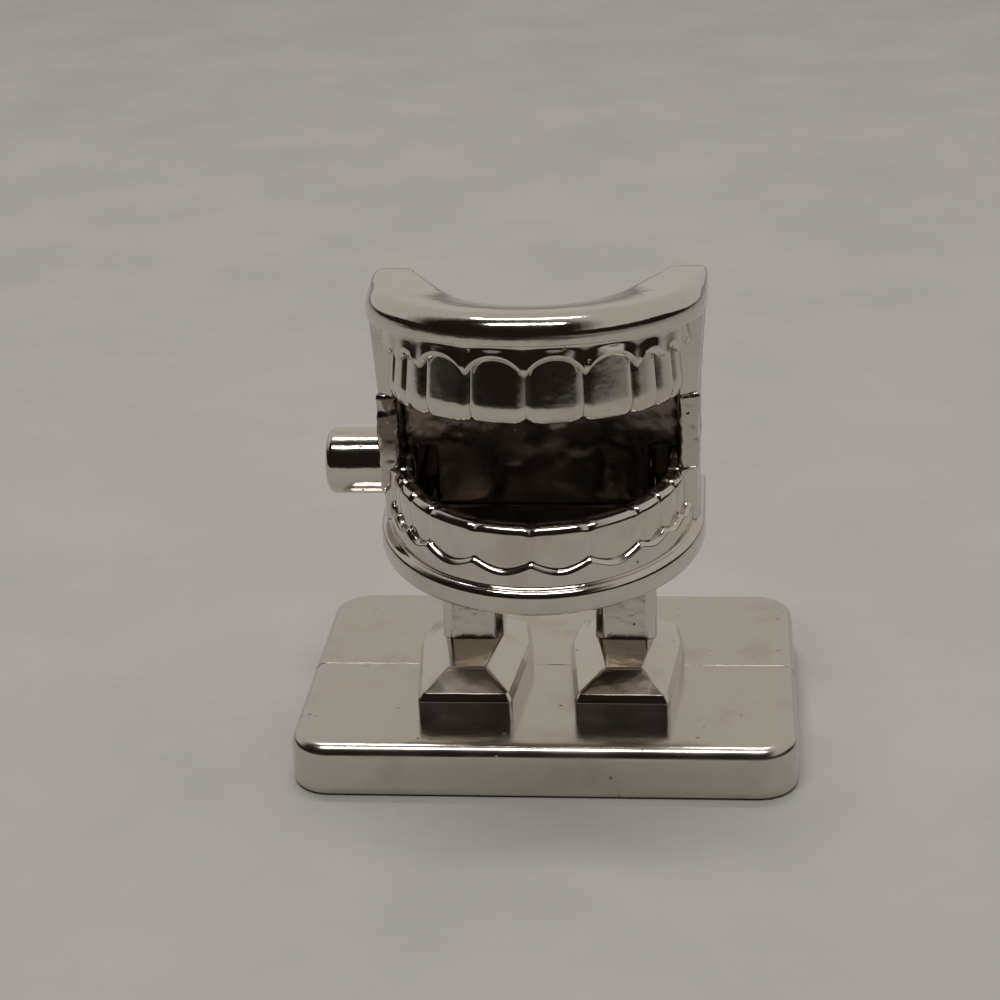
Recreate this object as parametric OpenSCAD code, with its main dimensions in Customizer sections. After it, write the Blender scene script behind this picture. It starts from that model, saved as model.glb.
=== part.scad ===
// Game token: open jaws standing on two feet, with a winding stem on the left side.
// Millimetres. X runs to the right, Y to the back and Z up, and the origin is the
// middle of the base's underside. The jaws are horseshoes: a half circle in front
// with its middle over the origin, and two straight arms that run back from it.

/* [Base plate] */
// Width of the base plate
base_w = 25; // [21:0.5:34]
// Depth of the base plate
base_d = 17.7; // [16:0.2:24]
// Thickness of the base plate
base_t = 2.75; // [2.2:0.05:4.5]
// Radius of the base's corners seen from above
base_corner_r = 2.0; // [1:0.1:3]
// Rounding along the top edge
base_top_r = 0.65; // [0.2:0.05:0.9]
// Rounding along the bottom edge
base_bottom_r = 0.3; // [0.1:0.05:0.6]

/* [Shoes] */
// Distance between the middles of the two shoes, as a share of the jaws' outer radius
shoe_share = 0.957; // [0.85:0.001:1.06]
// Width across the toe
shoe_toe_w = 4.7; // [3.6:0.1:5.4]
// Width at the widest place, on the parting plane
shoe_mid_w = 5.85; // [5:0.05:6.5]
// Width across the heel
shoe_heel_w = 5.2; // [4.2:0.1:5.6]
// Reach of the toe in front of the middle plane
shoe_toe_reach = 6.0; // [5.4:0.1:7]
// Reach of the heel behind the middle plane
shoe_heel_reach = 2.6; // [2.3:0.1:4]
// Height of the upright wall
shoe_wall_h = 1.0; // [0.6:0.05:1.3]
// Height of the break between the steep slope and the flat slope
shoe_break_h = 1.5; // [1.35:0.05:1.8]
// How far the break lies inside the wall
shoe_break_inset = 0.5; // [0.2:0.05:0.8]
// Height of the instep
shoe_instep_h = 2.2; // [1.9:0.05:3]
// Reach of the instep in front of the middle plane
instep_reach = 4.6; // [3.5:0.05:4.8]
// Width of the instep at its front
instep_front_w = 2.0; // [1.2:0.1:3]

/* [Legs] */
// Width of a leg
leg_w = 3.1; // [2.4:0.1:3.6]
// Depth of a leg
leg_d = 2.5; // [2:0.1:3]
// Distance of a leg's front face in front of the middle plane
leg_reach = 1.2; // [0.8:0.05:1.6]
// Chamfer on the upright edges of a leg
leg_chamfer = 0.45; // [0.1:0.05:0.6]

/* [Jaws] */
// How far the jaws stand to the left of the middle of the base
jaw_offset = 0.2; // [0:0.05:0.5]
// Outer radius of both jaws at the flange
jaw_r = 8.15; // [7.8:0.05:9.4]
// Length of the straight arms behind the half circle
jaw_arm = 3.8; // [3.2:0.1:5]
// Reach of the plain flanks beside the teeth in front of the middle plane
flank_reach = 0.4; // [0.1:0.05:0.8]
// How far the upper flanks widen from the tooth tips to the flange
flank_lean = 0.3; // [0:0.05:0.3]
// How far the gum lies inside the flange
gum_step = 0.5; // [0.4:0.05:0.7]
// How far the tooth faces lie inside the gum
tooth_step = 0.3; // [0.25:0.05:0.5]
// Thickness of the teeth from front to back
tooth_t = 1.05; // [0.95:0.05:1.2]
// Thickness of the gum behind the teeth
collar_t = 0.9; // [0.6:0.05:1.1]
// How far each tooth face bulges out of the row
tooth_bulge = 0.15; // [0.05:0.01:0.25]
// Width of the notch between two tooth tips
tooth_notch = 0.12; // [0.05:0.01:0.3]
// Depth of the notch between two tooth tips
notch_depth = 0.5; // [0.45:0.05:0.9]

/* [Lower jaw] */
// Height of the underside above the base plate, at the middle plane
lower_lift = 7.6; // [6:0.05:10]
// Tilt of the lower jaw, front down
lower_tilt = 6; // [2:0.5:8]
// Thickness of the mouth floor
lower_floor_t = 1.2; // [1.1:0.05:1.25]
// Height of the flange's upright face
lower_flange_h = 0.85; // [0.6:0.05:0.9]
// Rounding of the flange's shoulder
lower_shoulder_r = 0.42; // [0.2:0.02:0.45]
// Height of the seat that the teeth stand on
lower_seat_h = 1.35; // [1.3:0.05:1.5]
// Height of the gum's peaks between the teeth
lower_margin_h = 2.55; // [2.4:0.05:3.2]
// Depth of the gum's dips in front of the teeth, as a share of a tooth's width
lower_dip_share = 0.25; // [0.1:0.01:0.32]
// Height of the gum behind the teeth
lower_collar_h = 2.3; // [1.8:0.05:3]
// Height of the tooth tips
lower_teeth_h = 4.3; // [3.8:0.05:4.6]

/* [Upper jaw] */
// How much further the upper flange stands out than the lower one
upper_extra = 0.13; // [0:0.01:0.3]
// Height of the upper jaw's top above the lower jaw's underside, at the middle plane
upper_lift = 13.3; // [12.8:0.05:15]
// Tilt of the upper jaw, front up
upper_tilt = 6; // [2:0.5:10]
// Rounding of the outer top edge
upper_shoulder_r = 0.95; // [0.5:0.05:1.2]
// Radius of the crown over the top of the horseshoe
crown_r = 8; // [5:0.1:12]
// Inner radius of the horseshoe at the top
horseshoe_in_r = 4.8; // [4.5:0.1:5.3]
// Depth of the flange's lower edge below the top
upper_flange_d = 1.4; // [1.3:0.05:1.6]
// Depth of the groove under the flange
upper_groove_d = 1.6; // [1.55:0.05:1.8]
// How far the gum leans outward from the groove to its edge
upper_gum_lean = 0.15; // [0.05:0.01:0.2]
// Depth of the gum's points between the teeth
upper_margin_d = 2.85; // [2.6:0.05:3.2]
// Height of the gum's arches over the teeth, as a share of a tooth's width
upper_arch_share = 0.29; // [0.1:0.01:0.34]
// Depth of the seat that the teeth stand against
upper_seat_d = 1.6; // [1.55:0.05:1.8]
// Depth of the palate's upper face
palate_d = 2.6; // [2.2:0.05:2.8]
// Thickness of the palate
palate_t = 0.8; // [0.7:0.05:0.85]
// Depth of the gum behind the teeth
upper_collar_d = 3.6; // [3.5:0.05:4.2]
// Depth of the tooth tips
upper_teeth_d = 5.35; // [4.8:0.05:5.6]

/* [Mechanism case] */
// Distance of the case's front face behind the middle plane
case_front = 0.6; // [0.3:0.05:1]
// How far the case's cheeks and the ends of the arms lie inside the lower flange
cheek_inset = 0.25; // [0.05:0.05:0.3]
// Reach of the cheeks in front of the middle plane
cheek_reach = 1.8; // [1.2:0.05:2.2]
// Thickness of the cheeks beside the open mouth
cheek_t = 1.05; // [0.9:0.05:1.3]
// Radius of the boss that carries the stem
boss_r = 1.75; // [1.7:0.05:1.9]

/* [Winding stem] */
// Radius of the stem
stem_r = 1.65; // [1.2:0.05:1.75]
// Length of the stem outside its boss
stem_len = 2.8; // [1.5:0.05:5]
// Rounding of the stem's end
stem_round = 0.4; // [0.1:0.05:0.8]
// Height of the stem's axis above the lower jaw's underside
stem_rise = 3.9; // [3.8:0.05:4.3]

/* [Hidden] */
$fn = 96;

// Clearance on each side of a tenon, spigot or tongue
fit_gap = 0.03;
// Overrun of a cutting shape past the face that it opens
cut = 0.5;
// Thickness of the thin slices that shape the shoes
slice = 0.02;

// Joint between a shoe and the base: a round spigot in a blind bore
sole_spigot_r = 1.2;
sole_spigot_h = 1.2;
sole_spigot_reach = 1.4;
// Joint between a leg and its shoe, and between a leg and the jaw above
leg_foot_depth = 0.6;
leg_head_depth = 0.5;
// Tongue under the row of teeth
tongue_t = 0.25;
tongue_h = 0.45;
// Tenons of the mechanism case
tenon_w = 4.0;
tenon_d = 1.0;
tenon_back = 0.6;
tenon_low_h = 0.6;
tenon_high_h = 0.45;
// Spigot of the stem
stem_spigot_r = 0.8;
stem_spigot_len = 0.4;
// Small roundings of the cast edges
jaw_edge = 0.15;
tooth_edge = 0.45;
tooth_flare = 0.28;
belly_h = 0.75;
tooth_back_edge = 0.3;
// How far the web that joins the teeth lies inside their faces and their backs
web_inset = 0.08;
// Width of the gum's points between the teeth
gum_point_w = 0.15;
// Thickness of the gum behind the last tooth of each arm
heel_t = 0.5;
// Radius of the round end of each upper arm
arm_end_r = 1.0;
// Depth of the hollow between the arms' ends, and its reach in front of the middle plane
arm_hollow_d = 1.0;
hollow_reach = 1.2;
// How many teeth stand on each arm
arm_teeth = 2;

// Widths of the teeth on one side, from the middle to the arm, as shares of the
// quarter turn
tooth_shares = [0.244, 0.236, 0.148, 0.134, 0.122, 0.116];
// Angle from the middle of the jaw to each boundary between two teeth
function tooth_edge_angle(i) = i <= 0 ? 0 : tooth_edge_angle(i - 1) + 90 * tooth_shares[i - 1];
function tooth_mid_angle(i) = (tooth_edge_angle(i) + tooth_edge_angle(i + 1)) / 2;
function tooth_turn(i) = 90 * tooth_shares[i];
tooth_count = len(tooth_shares);

// Radii that both jaws share
gum_r = jaw_r - gum_step;
tooth_r = gum_r - tooth_step;
tooth_in_r = tooth_r - tooth_t;
lip_in_r = tooth_r + fit_gap;
collar_r = tooth_in_r - fit_gap;
collar_in_r = collar_r - collar_t;
tongue_mid_r = (tooth_in_r + tooth_r - tooth_flare - tooth_bulge) / 2;
row_r = tooth_r - tooth_bulge;
upper_r = jaw_r + upper_extra;
row_arm = jaw_arm - heel_t - fit_gap;
arm_tooth_w = row_arm / arm_teeth;

lower_z = base_t + lower_lift;
upper_z = lower_z + upper_lift;
stem_z = lower_z + stem_rise;
shoe_x = shoe_share * jaw_r / 2;
leg_back = leg_d - leg_reach;
leg_foot_z = base_t + shoe_instep_h - leg_foot_depth;
leg_head_z = lower_z + leg_head_depth;
case_back = jaw_arm;
case_half_w = collar_in_r - fit_gap;
tenon_front = case_back - tenon_back - tenon_d;
cheek_half_w = jaw_r - cheek_inset;
boss_x = cheek_half_w;
cheek_in = cheek_half_w - cheek_t;
hollow_in_r = collar_in_r - jaw_edge;

// Height at place y of the lower jaw's layer that lies h above its underside
function lower_layer(h, y) = lower_z + h / cos(lower_tilt) + y * tan(lower_tilt);
// Height at place y of the upper jaw's layer that lies d below its top
function upper_layer(d, y) = upper_z - d / cos(upper_tilt) - y * tan(upper_tilt);
// Points along an arc, from angle a to angle b
function arc(cx, cy, r, a, b, steps = 8) =
    [for (i = [0:steps]) let (t = a + (b - a) * i / steps) [cx + r * cos(t), cy + r * sin(t)]];
// Radius of a tooth face of a given width that bulges out of a row with radius r
function bulged_r(width, r) = 1 / (8 * tooth_bulge / (width * width) + 1 / r);
function face_r(turn) = bulged_r(2 * tooth_r * sin(turn / 2), tooth_r);
// The same on the straight arms
arm_face_r = arm_tooth_w * arm_tooth_w / (8 * tooth_bulge) + tooth_bulge / 2;
// Radius of an arch of height h and of a given width
function arch_r(width, h) = (width * width / 4 + h * h) / (2 * h);
function gum_width(turn) = 2 * gum_r * sin(turn / 2);

// Plate w by d about the origin whose rim has the outline (distance from the corners'
// axes, height), with plan corners of radius corner
module rimmed_plate(w, d, h, corner, outline) {
    translate([-(w / 2 - corner), -(d / 2 - corner), 0]) cube([w - 2 * corner, d - 2 * corner, h]);
    for (side = [0, 1]) rotate([0, 0, 180 * side]) {
        translate([-(w / 2 - corner), d / 2 - corner, 0]) rotate([90, 0, 90])
            linear_extrude(height = w - 2 * corner) polygon(outline);
        translate([w / 2 - corner, d / 2 - corner, 0]) rotate([90, 0, 0])
            linear_extrude(height = d - 2 * corner) polygon(outline);
        translate([w / 2 - corner, d / 2 - corner, 0]) rotate_extrude(angle = 90) polygon(outline);
        translate([-(w / 2 - corner), d / 2 - corner, 0]) rotate([0, 0, 90])
            rotate_extrude(angle = 90) polygon(outline);
    }
}

// Outline (radius, height) carried round the half circle and back along both arms
module horseshoe(outline, arm) {
    rotate([0, 0, 180]) rotate_extrude(angle = 180) polygon(outline);
    for (side = [0, 1]) mirror([side, 0, 0]) translate([0, arm, 0]) rotate([90, 0, 0])
        linear_extrude(height = arm) polygon(outline);
}

// Wedge that spans the given turn about the line towards +X, from height z to z + h
module wedge(turn, z, h) {
    reach = 2 * jaw_r;
    translate([0, 0, z]) linear_extrude(height = h)
        polygon([[0, 0], [reach * cos(turn / 2), -reach * sin(turn / 2)],
                 [reach * cos(turn / 2), reach * sin(turn / 2)]]);
}

// Places its children towards +X of each tooth of the half circle, with $turn as the
// angle that the tooth spans
module at_each_tooth() {
    for (side = [-1, 1], i = [0:tooth_count - 1]) {
        $turn = tooth_turn(i);
        rotate([0, 0, -90 + side * tooth_mid_angle(i)]) children();
    }
}

// Places its children at the middle of each tooth of both arms, facing outward
module at_each_arm_tooth() {
    for (side = [0, 1], i = [0:arm_teeth - 1])
        mirror([side, 0, 0]) translate([0, (i + 0.5) * arm_tooth_w, 0]) children();
}

// Round cut for one tooth of a given width: it leaves the gum's points at their height,
// is share times as deep as the tooth is wide and opens towards up (1) or down (-1)
module gum_arch(width, points, share, up) {
    r = arch_r(width - gum_point_w, share * width);
    translate([row_r, 0, points + up * (r - share * width)]) rotate([0, 90, 0])
        cylinder(h = jaw_r - row_r, r = r);
}

// The gum's edge over every tooth
module gum_arches(points, share, up) {
    at_each_tooth() gum_arch(gum_width($turn), points, share, up);
    at_each_arm_tooth() gum_arch(arm_tooth_w, points, share, up);
}

// Solid blocks with outline (radius, height) and length len at the ends of both arms
module heels(outline, len) {
    for (side = [0, 1]) mirror([side, 0, 0]) translate([0, jaw_arm, 0]) rotate([90, 0, 0])
        linear_extrude(height = len) polygon(outline);
}

module place_lower() {
    translate([-jaw_offset, 0, lower_z]) rotate([lower_tilt, 0, 0]) children();
}

module place_upper() {
    translate([-jaw_offset, 0, upper_z]) rotate([-upper_tilt, 0, 0]) children();
}

// The boss of the stem, and the room that it needs in the pieces beside it
module boss_shape(r, x_from, x_to) {
    translate([-jaw_offset - x_to, 0, stem_z]) rotate([0, 90, 0]) cylinder(h = x_to - x_from, r = r);
}

// Section of a leg, with chamfered corners, grown by g on each side
module leg_section(g) {
    x = leg_w / 2 + g;
    f = -leg_reach - g;
    b = leg_back + g;
    c = leg_chamfer;
    polygon([[-x + c, f], [x - c, f], [x, f + c], [x, b - c],
             [x - c, b], [-x + c, b], [-x, b - c], [-x, f + c]]);
}

module base_plate() {
    rim = concat(
        [[0, 0]],
        arc(base_corner_r - base_bottom_r, base_bottom_r, base_bottom_r, -90, 0),
        arc(base_corner_r - base_top_r, base_t - base_top_r, base_top_r, 0, 90, 12),
        [[0, base_t]]);
    color([0.66, 0.63, 0.59]) difference() {
        rimmed_plate(base_w, base_d, base_t, base_corner_r, rim);
        // Bores for the spigots under the shoes
        for (side = [-1, 1]) translate([side * shoe_x, -sole_spigot_reach, base_t - sole_spigot_h - fit_gap])
            cylinder(h = sole_spigot_h + cut, r = sole_spigot_r + fit_gap);
    }
}

// Outline of a shoe seen from above, drawn in by g
module shoe_outline(g) {
    polygon([[-shoe_toe_w / 2 + g, -shoe_toe_reach + g], [shoe_toe_w / 2 - g, -shoe_toe_reach + g],
             [shoe_mid_w / 2 - g, 0], [shoe_heel_w / 2 - g, shoe_heel_reach - g],
             [-shoe_heel_w / 2 + g, shoe_heel_reach - g], [-shoe_mid_w / 2 + g, 0]]);
}

// A shoe: upright wall, steep slope, flat slope and instep, with a socket for the leg
module shoe() {
    difference() {
        union() {
            hull() {
                linear_extrude(height = shoe_wall_h) shoe_outline(0);
                translate([0, 0, shoe_break_h - slice]) linear_extrude(height = slice)
                    shoe_outline(shoe_break_inset);
                translate([0, 0, shoe_instep_h - slice]) linear_extrude(height = slice)
                    polygon([[-instep_front_w / 2, -instep_reach], [instep_front_w / 2, -instep_reach],
                             [leg_w / 2, -leg_reach], [leg_w / 2, leg_back],
                             [-leg_w / 2, leg_back], [-leg_w / 2, -leg_reach]]);
            }
            translate([0, -sole_spigot_reach, -sole_spigot_h])
                cylinder(h = sole_spigot_h + shoe_wall_h / 2, r = sole_spigot_r);
        }
        translate([0, 0, shoe_instep_h - leg_foot_depth]) linear_extrude(height = leg_foot_depth + cut)
            leg_section(fit_gap);
    }
}

module left_shoe() {
    color([0.50, 0.48, 0.45]) translate([-shoe_x, 0, base_t]) shoe();
}

module right_shoe() {
    color([0.50, 0.48, 0.45]) translate([shoe_x, 0, base_t]) shoe();
}

module leg() {
    translate([0, 0, leg_foot_z]) linear_extrude(height = leg_head_z - leg_foot_z) leg_section(0);
}

module left_leg() {
    color([0.60, 0.57, 0.54]) translate([-shoe_x, 0, 0]) leg();
}

module right_leg() {
    color([0.60, 0.57, 0.54]) translate([shoe_x, 0, 0]) leg();
}

module lower_jaw() {
    tongue_a = tongue_mid_r - tongue_t / 2 - fit_gap;
    tongue_b = tongue_mid_r + tongue_t / 2 + fit_gap;
    groove_h = lower_seat_h - tongue_h - fit_gap;
    outline = concat(
        [[0, 0], [jaw_r - jaw_edge, 0], [jaw_r, jaw_edge]],
        arc(jaw_r - lower_shoulder_r, lower_flange_h, lower_shoulder_r, 0, 75),
        [[gum_r, lower_flange_h + lower_shoulder_r], [gum_r, lower_margin_h], [lip_in_r, lower_margin_h],
         [lip_in_r, lower_seat_h], [tongue_b, lower_seat_h], [tongue_b, groove_h],
         [tongue_a, groove_h], [tongue_a, lower_seat_h], [collar_r, lower_seat_h],
         [collar_r, lower_collar_h], [collar_in_r, lower_collar_h], [collar_in_r, lower_floor_t],
         [0, lower_floor_t]]);
    heel = [[collar_in_r, lower_floor_t / 2], [cheek_half_w, lower_floor_t / 2],
            [cheek_half_w, lower_teeth_h], [collar_in_r, lower_teeth_h]];
    flank = [[lip_in_r, lower_floor_t / 2], [cheek_half_w, lower_floor_t / 2],
             [cheek_half_w, lower_teeth_h], [lip_in_r, lower_teeth_h]];
    color([0.58, 0.55, 0.52]) difference() {
        place_lower() {
            difference() {
                horseshoe(outline, jaw_arm);
                gum_arches(lower_margin_h, lower_dip_share, 1);
            }
            heels(heel, heel_t);
            heels(flank, jaw_arm + flank_reach);
        }
        // Sockets for the legs
        for (side = [-1, 1]) translate([side * shoe_x, 0, lower_z - lower_floor_t])
            linear_extrude(height = leg_head_depth + lower_floor_t) leg_section(fit_gap);
        // Slot for the lower tenon of the mechanism case
        translate([-jaw_offset - tenon_w / 2 - fit_gap, tenon_front - fit_gap,
                   lower_layer(lower_floor_t, tenon_front) - tenon_low_h])
            cube([tenon_w + 2 * fit_gap, tenon_d + 2 * fit_gap, tenon_low_h + cut]);
        // Room for the boss of the stem beside the gum
        boss_shape(boss_r + fit_gap, lip_in_r - fit_gap, jaw_r + cut);
    }
}

// Barrel that shapes one lower tooth: an upright face with a rounded tip
function lower_barrel(r) = concat(
    [[0, lower_seat_h], [r, lower_seat_h]],
    arc(r - tooth_edge, lower_teeth_h - tooth_edge, tooth_edge, 0, 90),
    [[0, lower_teeth_h]]);

// Barrel that shapes one upper tooth: the face leans out to a belly above the tip
function upper_barrel(r) =
    [[0, -upper_seat_d], [0, -upper_teeth_d], [r - tooth_edge, -upper_teeth_d],
     [r - tooth_edge / 4, -upper_teeth_d + tooth_edge / 2],
     [r, -upper_teeth_d + belly_h], [r - tooth_flare, -upper_seat_d]];

// A row of teeth: the ring that they share, then the teeth, upright from height z for a
// length h. The outline behind (radius, height) is the room on the tongue's side.
module tooth_row(ring, behind, z, h) {
    notch_turn = 2 * asin(tooth_notch / 2 / tooth_r);
    horseshoe(ring, row_arm);
    at_each_tooth() difference() {
        intersection() {
            translate([tooth_r - face_r($turn), 0, 0]) rotate([0, 0, 180]) rotate_extrude() {
                if (z > 0) polygon(lower_barrel(face_r($turn)));
                if (z < 0) polygon(upper_barrel(face_r($turn)));
            }
            wedge($turn - notch_turn, z, h);
        }
        rotate([0, 0, 180]) rotate_extrude() polygon(behind);
    }
    at_each_arm_tooth() difference() {
        intersection() {
            translate([tooth_r - arm_face_r, 0, 0]) rotate([0, 0, 180]) rotate_extrude() {
                if (z > 0) polygon(lower_barrel(arm_face_r));
                if (z < 0) polygon(upper_barrel(arm_face_r));
            }
            translate([0, -(arm_tooth_w - tooth_notch) / 2, z])
                cube([jaw_r, arm_tooth_w - tooth_notch, h]);
        }
        translate([0, arm_tooth_w, 0]) rotate([90, 0, 0]) linear_extrude(height = 2 * arm_tooth_w) polygon(behind);
    }
}

module lower_teeth() {
    ring_top = lower_teeth_h - notch_depth;
    ring_in = tooth_in_r + web_inset;
    ring_out = tooth_r - tooth_bulge - web_inset;
    ring = [[ring_in, lower_seat_h], [tongue_mid_r - tongue_t / 2, lower_seat_h],
            [tongue_mid_r - tongue_t / 2, lower_seat_h - tongue_h],
            [tongue_mid_r + tongue_t / 2, lower_seat_h - tongue_h],
            [tongue_mid_r + tongue_t / 2, lower_seat_h], [ring_out, lower_seat_h], [ring_out, ring_top],
            [ring_in, ring_top]];
    behind = concat(
        [[0, 0], [tooth_in_r, 0]],
        arc(tooth_in_r + tooth_back_edge, lower_teeth_h - tooth_back_edge, tooth_back_edge, 180, 90),
        [[tooth_in_r + tooth_back_edge, lower_teeth_h + cut], [0, lower_teeth_h + cut]]);
    color([0.74, 0.72, 0.68]) place_lower() tooth_row(ring, behind, lower_seat_h, lower_teeth_h);
}

module upper_teeth() {
    ring_low = -upper_teeth_d + notch_depth;
    ring_in = tooth_in_r + web_inset;
    ring_out = tooth_r - tooth_flare - tooth_bulge - web_inset;
    ring = [[ring_in, -upper_seat_d], [ring_in, ring_low], [ring_out, ring_low],
            [ring_out, -upper_seat_d], [tongue_mid_r + tongue_t / 2, -upper_seat_d],
            [tongue_mid_r + tongue_t / 2, -upper_seat_d + tongue_h],
            [tongue_mid_r - tongue_t / 2, -upper_seat_d + tongue_h],
            [tongue_mid_r - tongue_t / 2, -upper_seat_d]];
    behind = concat(
        [[0, 0], [0, -upper_teeth_d - cut], [tooth_in_r + tooth_back_edge, -upper_teeth_d - cut]],
        arc(tooth_in_r + tooth_back_edge, -upper_teeth_d + tooth_back_edge, tooth_back_edge, 270, 180),
        [[tooth_in_r, 0]]);
    color([0.74, 0.72, 0.68]) place_upper()
        tooth_row(ring, behind, -upper_teeth_d - cut, upper_teeth_d + cut - upper_seat_d);
}

// Plan of the upper jaw, with round outer corners at the ends of the arms
module upper_plan() {
    translate([-upper_r, -upper_r - cut]) square([2 * upper_r, upper_r + cut + jaw_arm - arm_end_r]);
    translate([-upper_r + arm_end_r, 0]) square([2 * (upper_r - arm_end_r), jaw_arm]);
    for (side = [-1, 1]) translate([side * (upper_r - arm_end_r), jaw_arm - arm_end_r]) circle(arm_end_r);
}

// Plan of the hollow over the palate between the arms, which widens to their round ends
module arm_hollow() {
    start_x = sqrt(horseshoe_in_r * horseshoe_in_r - hollow_reach * hollow_reach);
    polygon([[-start_x, -hollow_reach], [start_x, -hollow_reach], [upper_r - 2 * arm_end_r, jaw_arm - arm_end_r],
             [upper_r - 2 * arm_end_r, jaw_arm + cut], [-upper_r + 2 * arm_end_r, jaw_arm + cut],
             [-upper_r + 2 * arm_end_r, jaw_arm - arm_end_r]]);
    for (side = [0, 1]) mirror([side, 0]) difference() {
        translate([upper_r - 2 * arm_end_r, jaw_arm - arm_end_r]) square([arm_end_r, arm_end_r + cut]);
        translate([upper_r - arm_end_r, jaw_arm - arm_end_r]) circle(arm_end_r);
    }
}

module upper_jaw() {
    top_r = upper_r - upper_shoulder_r;
    crown_turn = asin((top_r - horseshoe_in_r) / crown_r);
    gum_top_r = gum_r - upper_gum_lean;
    tongue_a = tongue_mid_r - tongue_t / 2 - fit_gap;
    tongue_b = tongue_mid_r + tongue_t / 2 + fit_gap;
    groove_d = upper_seat_d - tongue_h - fit_gap;
    outline = concat(
        [[0, -palate_d], [horseshoe_in_r, -palate_d]],
        arc(top_r, -crown_r, crown_r, 90 + crown_turn, 90),
        arc(top_r, -upper_shoulder_r, upper_shoulder_r, 90, 0),
        [[upper_r, -upper_flange_d + jaw_edge], [upper_r - jaw_edge, -upper_flange_d], [gum_top_r, -upper_groove_d],
         [gum_r, -upper_margin_d], [lip_in_r, -upper_margin_d], [lip_in_r, -upper_seat_d],
         [tongue_b, -upper_seat_d], [tongue_b, -groove_d], [tongue_a, -groove_d], [tongue_a, -upper_seat_d],
         [collar_r, -upper_seat_d], [collar_r, -upper_collar_d], [collar_in_r, -upper_collar_d],
         [collar_in_r, -palate_d - palate_t], [0, -palate_d - palate_t]]);
    heel_top = -upper_seat_d + tongue_h + 2 * fit_gap;
    heel = [[collar_in_r, heel_top], [collar_in_r, -upper_teeth_d], [cheek_half_w, -upper_teeth_d],
            [cheek_half_w, heel_top]];
    flank = [[lip_in_r, heel_top], [lip_in_r, -upper_teeth_d], [cheek_half_w, -upper_teeth_d],
             [cheek_half_w + flank_lean, -upper_flange_d], [cheek_half_w + flank_lean, heel_top]];
    color([0.62, 0.60, 0.56]) difference() {
        place_upper() intersection() {
            union() {
                difference() {
                    horseshoe(outline, jaw_arm);
                    gum_arches(-upper_margin_d, upper_arch_share, -1);
                }
                heels(heel, heel_t);
                heels(flank, jaw_arm + flank_reach);
            }
            translate([0, 0, -upper_teeth_d - cut]) linear_extrude(height = upper_teeth_d + 2 * cut) upper_plan();
        }
        place_upper() translate([0, 0, -arm_hollow_d]) linear_extrude(height = arm_hollow_d + cut) arm_hollow();
        // Deeper part of the hollow, down to the palate
        place_upper() translate([0, 0, -palate_d]) linear_extrude(height = palate_d + cut) intersection() {
            arm_hollow();
            translate([-hollow_in_r, -hollow_reach - cut]) square([2 * hollow_in_r, jaw_arm + hollow_reach + 2 * cut]);
        }
        // Slot for the upper tenon of the mechanism case
        translate([-jaw_offset - tenon_w / 2 - fit_gap, tenon_front - fit_gap,
                   upper_layer(palate_d + palate_t, tenon_front) - cut])
            cube([tenon_w + 2 * fit_gap, tenon_d + 2 * fit_gap, cut + tenon_high_h]);
    }
}

// Outline (y, z) between a layer of the lower jaw and a layer of the upper jaw,
// from place y_a to place y_b
function between(low_h, high_d, y_a, y_b) =
    [[y_a, lower_layer(low_h, y_a)], [y_b, lower_layer(low_h, y_b)],
     [y_b, upper_layer(high_d, y_b)], [y_a, upper_layer(high_d, y_a)]];

// Outline (y, z) carried along X from -half to half
module across(half, outline) {
    translate([-jaw_offset - half, 0, 0]) rotate([90, 0, 90]) linear_extrude(height = 2 * half) polygon(outline);
}

module mechanism_case() {
    color([0.36, 0.33, 0.31]) difference() {
        union() {
            // Core between the mouth floor and the palate
            across(case_half_w, between(lower_floor_t, palate_d + palate_t, case_front, case_back));
            // Cheeks between the two rows of teeth
            across(cheek_half_w, between(lower_teeth_h, upper_teeth_d, -cheek_reach, case_back));
            boss_shape(boss_r, lip_in_r, boss_x);
            // Tenons into the two jaws
            translate([-jaw_offset - tenon_w / 2, tenon_front,
                       lower_layer(lower_floor_t, tenon_front) - tenon_low_h + fit_gap])
                cube([tenon_w, tenon_d, upper_lift / 2]);
            translate([-jaw_offset - tenon_w / 2, tenon_front,
                       upper_layer(palate_d + palate_t, tenon_front) + tenon_high_h - fit_gap - upper_lift / 2])
                cube([tenon_w, tenon_d, upper_lift / 2]);
        }
        // Mouth side of the cheeks
        translate([-jaw_offset - cheek_in, -cheek_reach - cut, lower_z])
            cube([2 * cheek_in, cheek_reach + cut + case_front, upper_lift]);
        // Bore for the stem's spigot
        boss_shape(stem_spigot_r + fit_gap, boss_x - stem_spigot_len - fit_gap, boss_x + cut);
    }
}

module winding_stem() {
    color([0.70, 0.67, 0.63]) translate([-jaw_offset - boss_x, 0, stem_z]) rotate([0, -90, 0]) rotate_extrude()
        polygon(concat([[0, -stem_spigot_len], [stem_spigot_r, -stem_spigot_len], [stem_spigot_r, 0], [stem_r, 0]],
                       arc(stem_r - stem_round, stem_len - stem_round, stem_round, 0, 90),
                       [[0, stem_len]]));
}

base_plate();
left_shoe();
right_shoe();
left_leg();
right_leg();
lower_jaw();
lower_teeth();
mechanism_case();
winding_stem();
upper_jaw();
upper_teeth();
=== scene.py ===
"""Dresses a plated game token: open jaws on two legs, with a winding stem on one side.

Every length is written in millimetres and turned into metres where a mesh is made. The
frame is the one of the solids: X to the right, Y to the back and Z up, with the origin in
the middle of the base plate's underside.
"""
import logging
import math
from dataclasses import dataclass
from enum import Enum
from typing import Iterable, Sequence

import bmesh
import bpy
from mathutils import Matrix, Vector, noise


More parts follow.
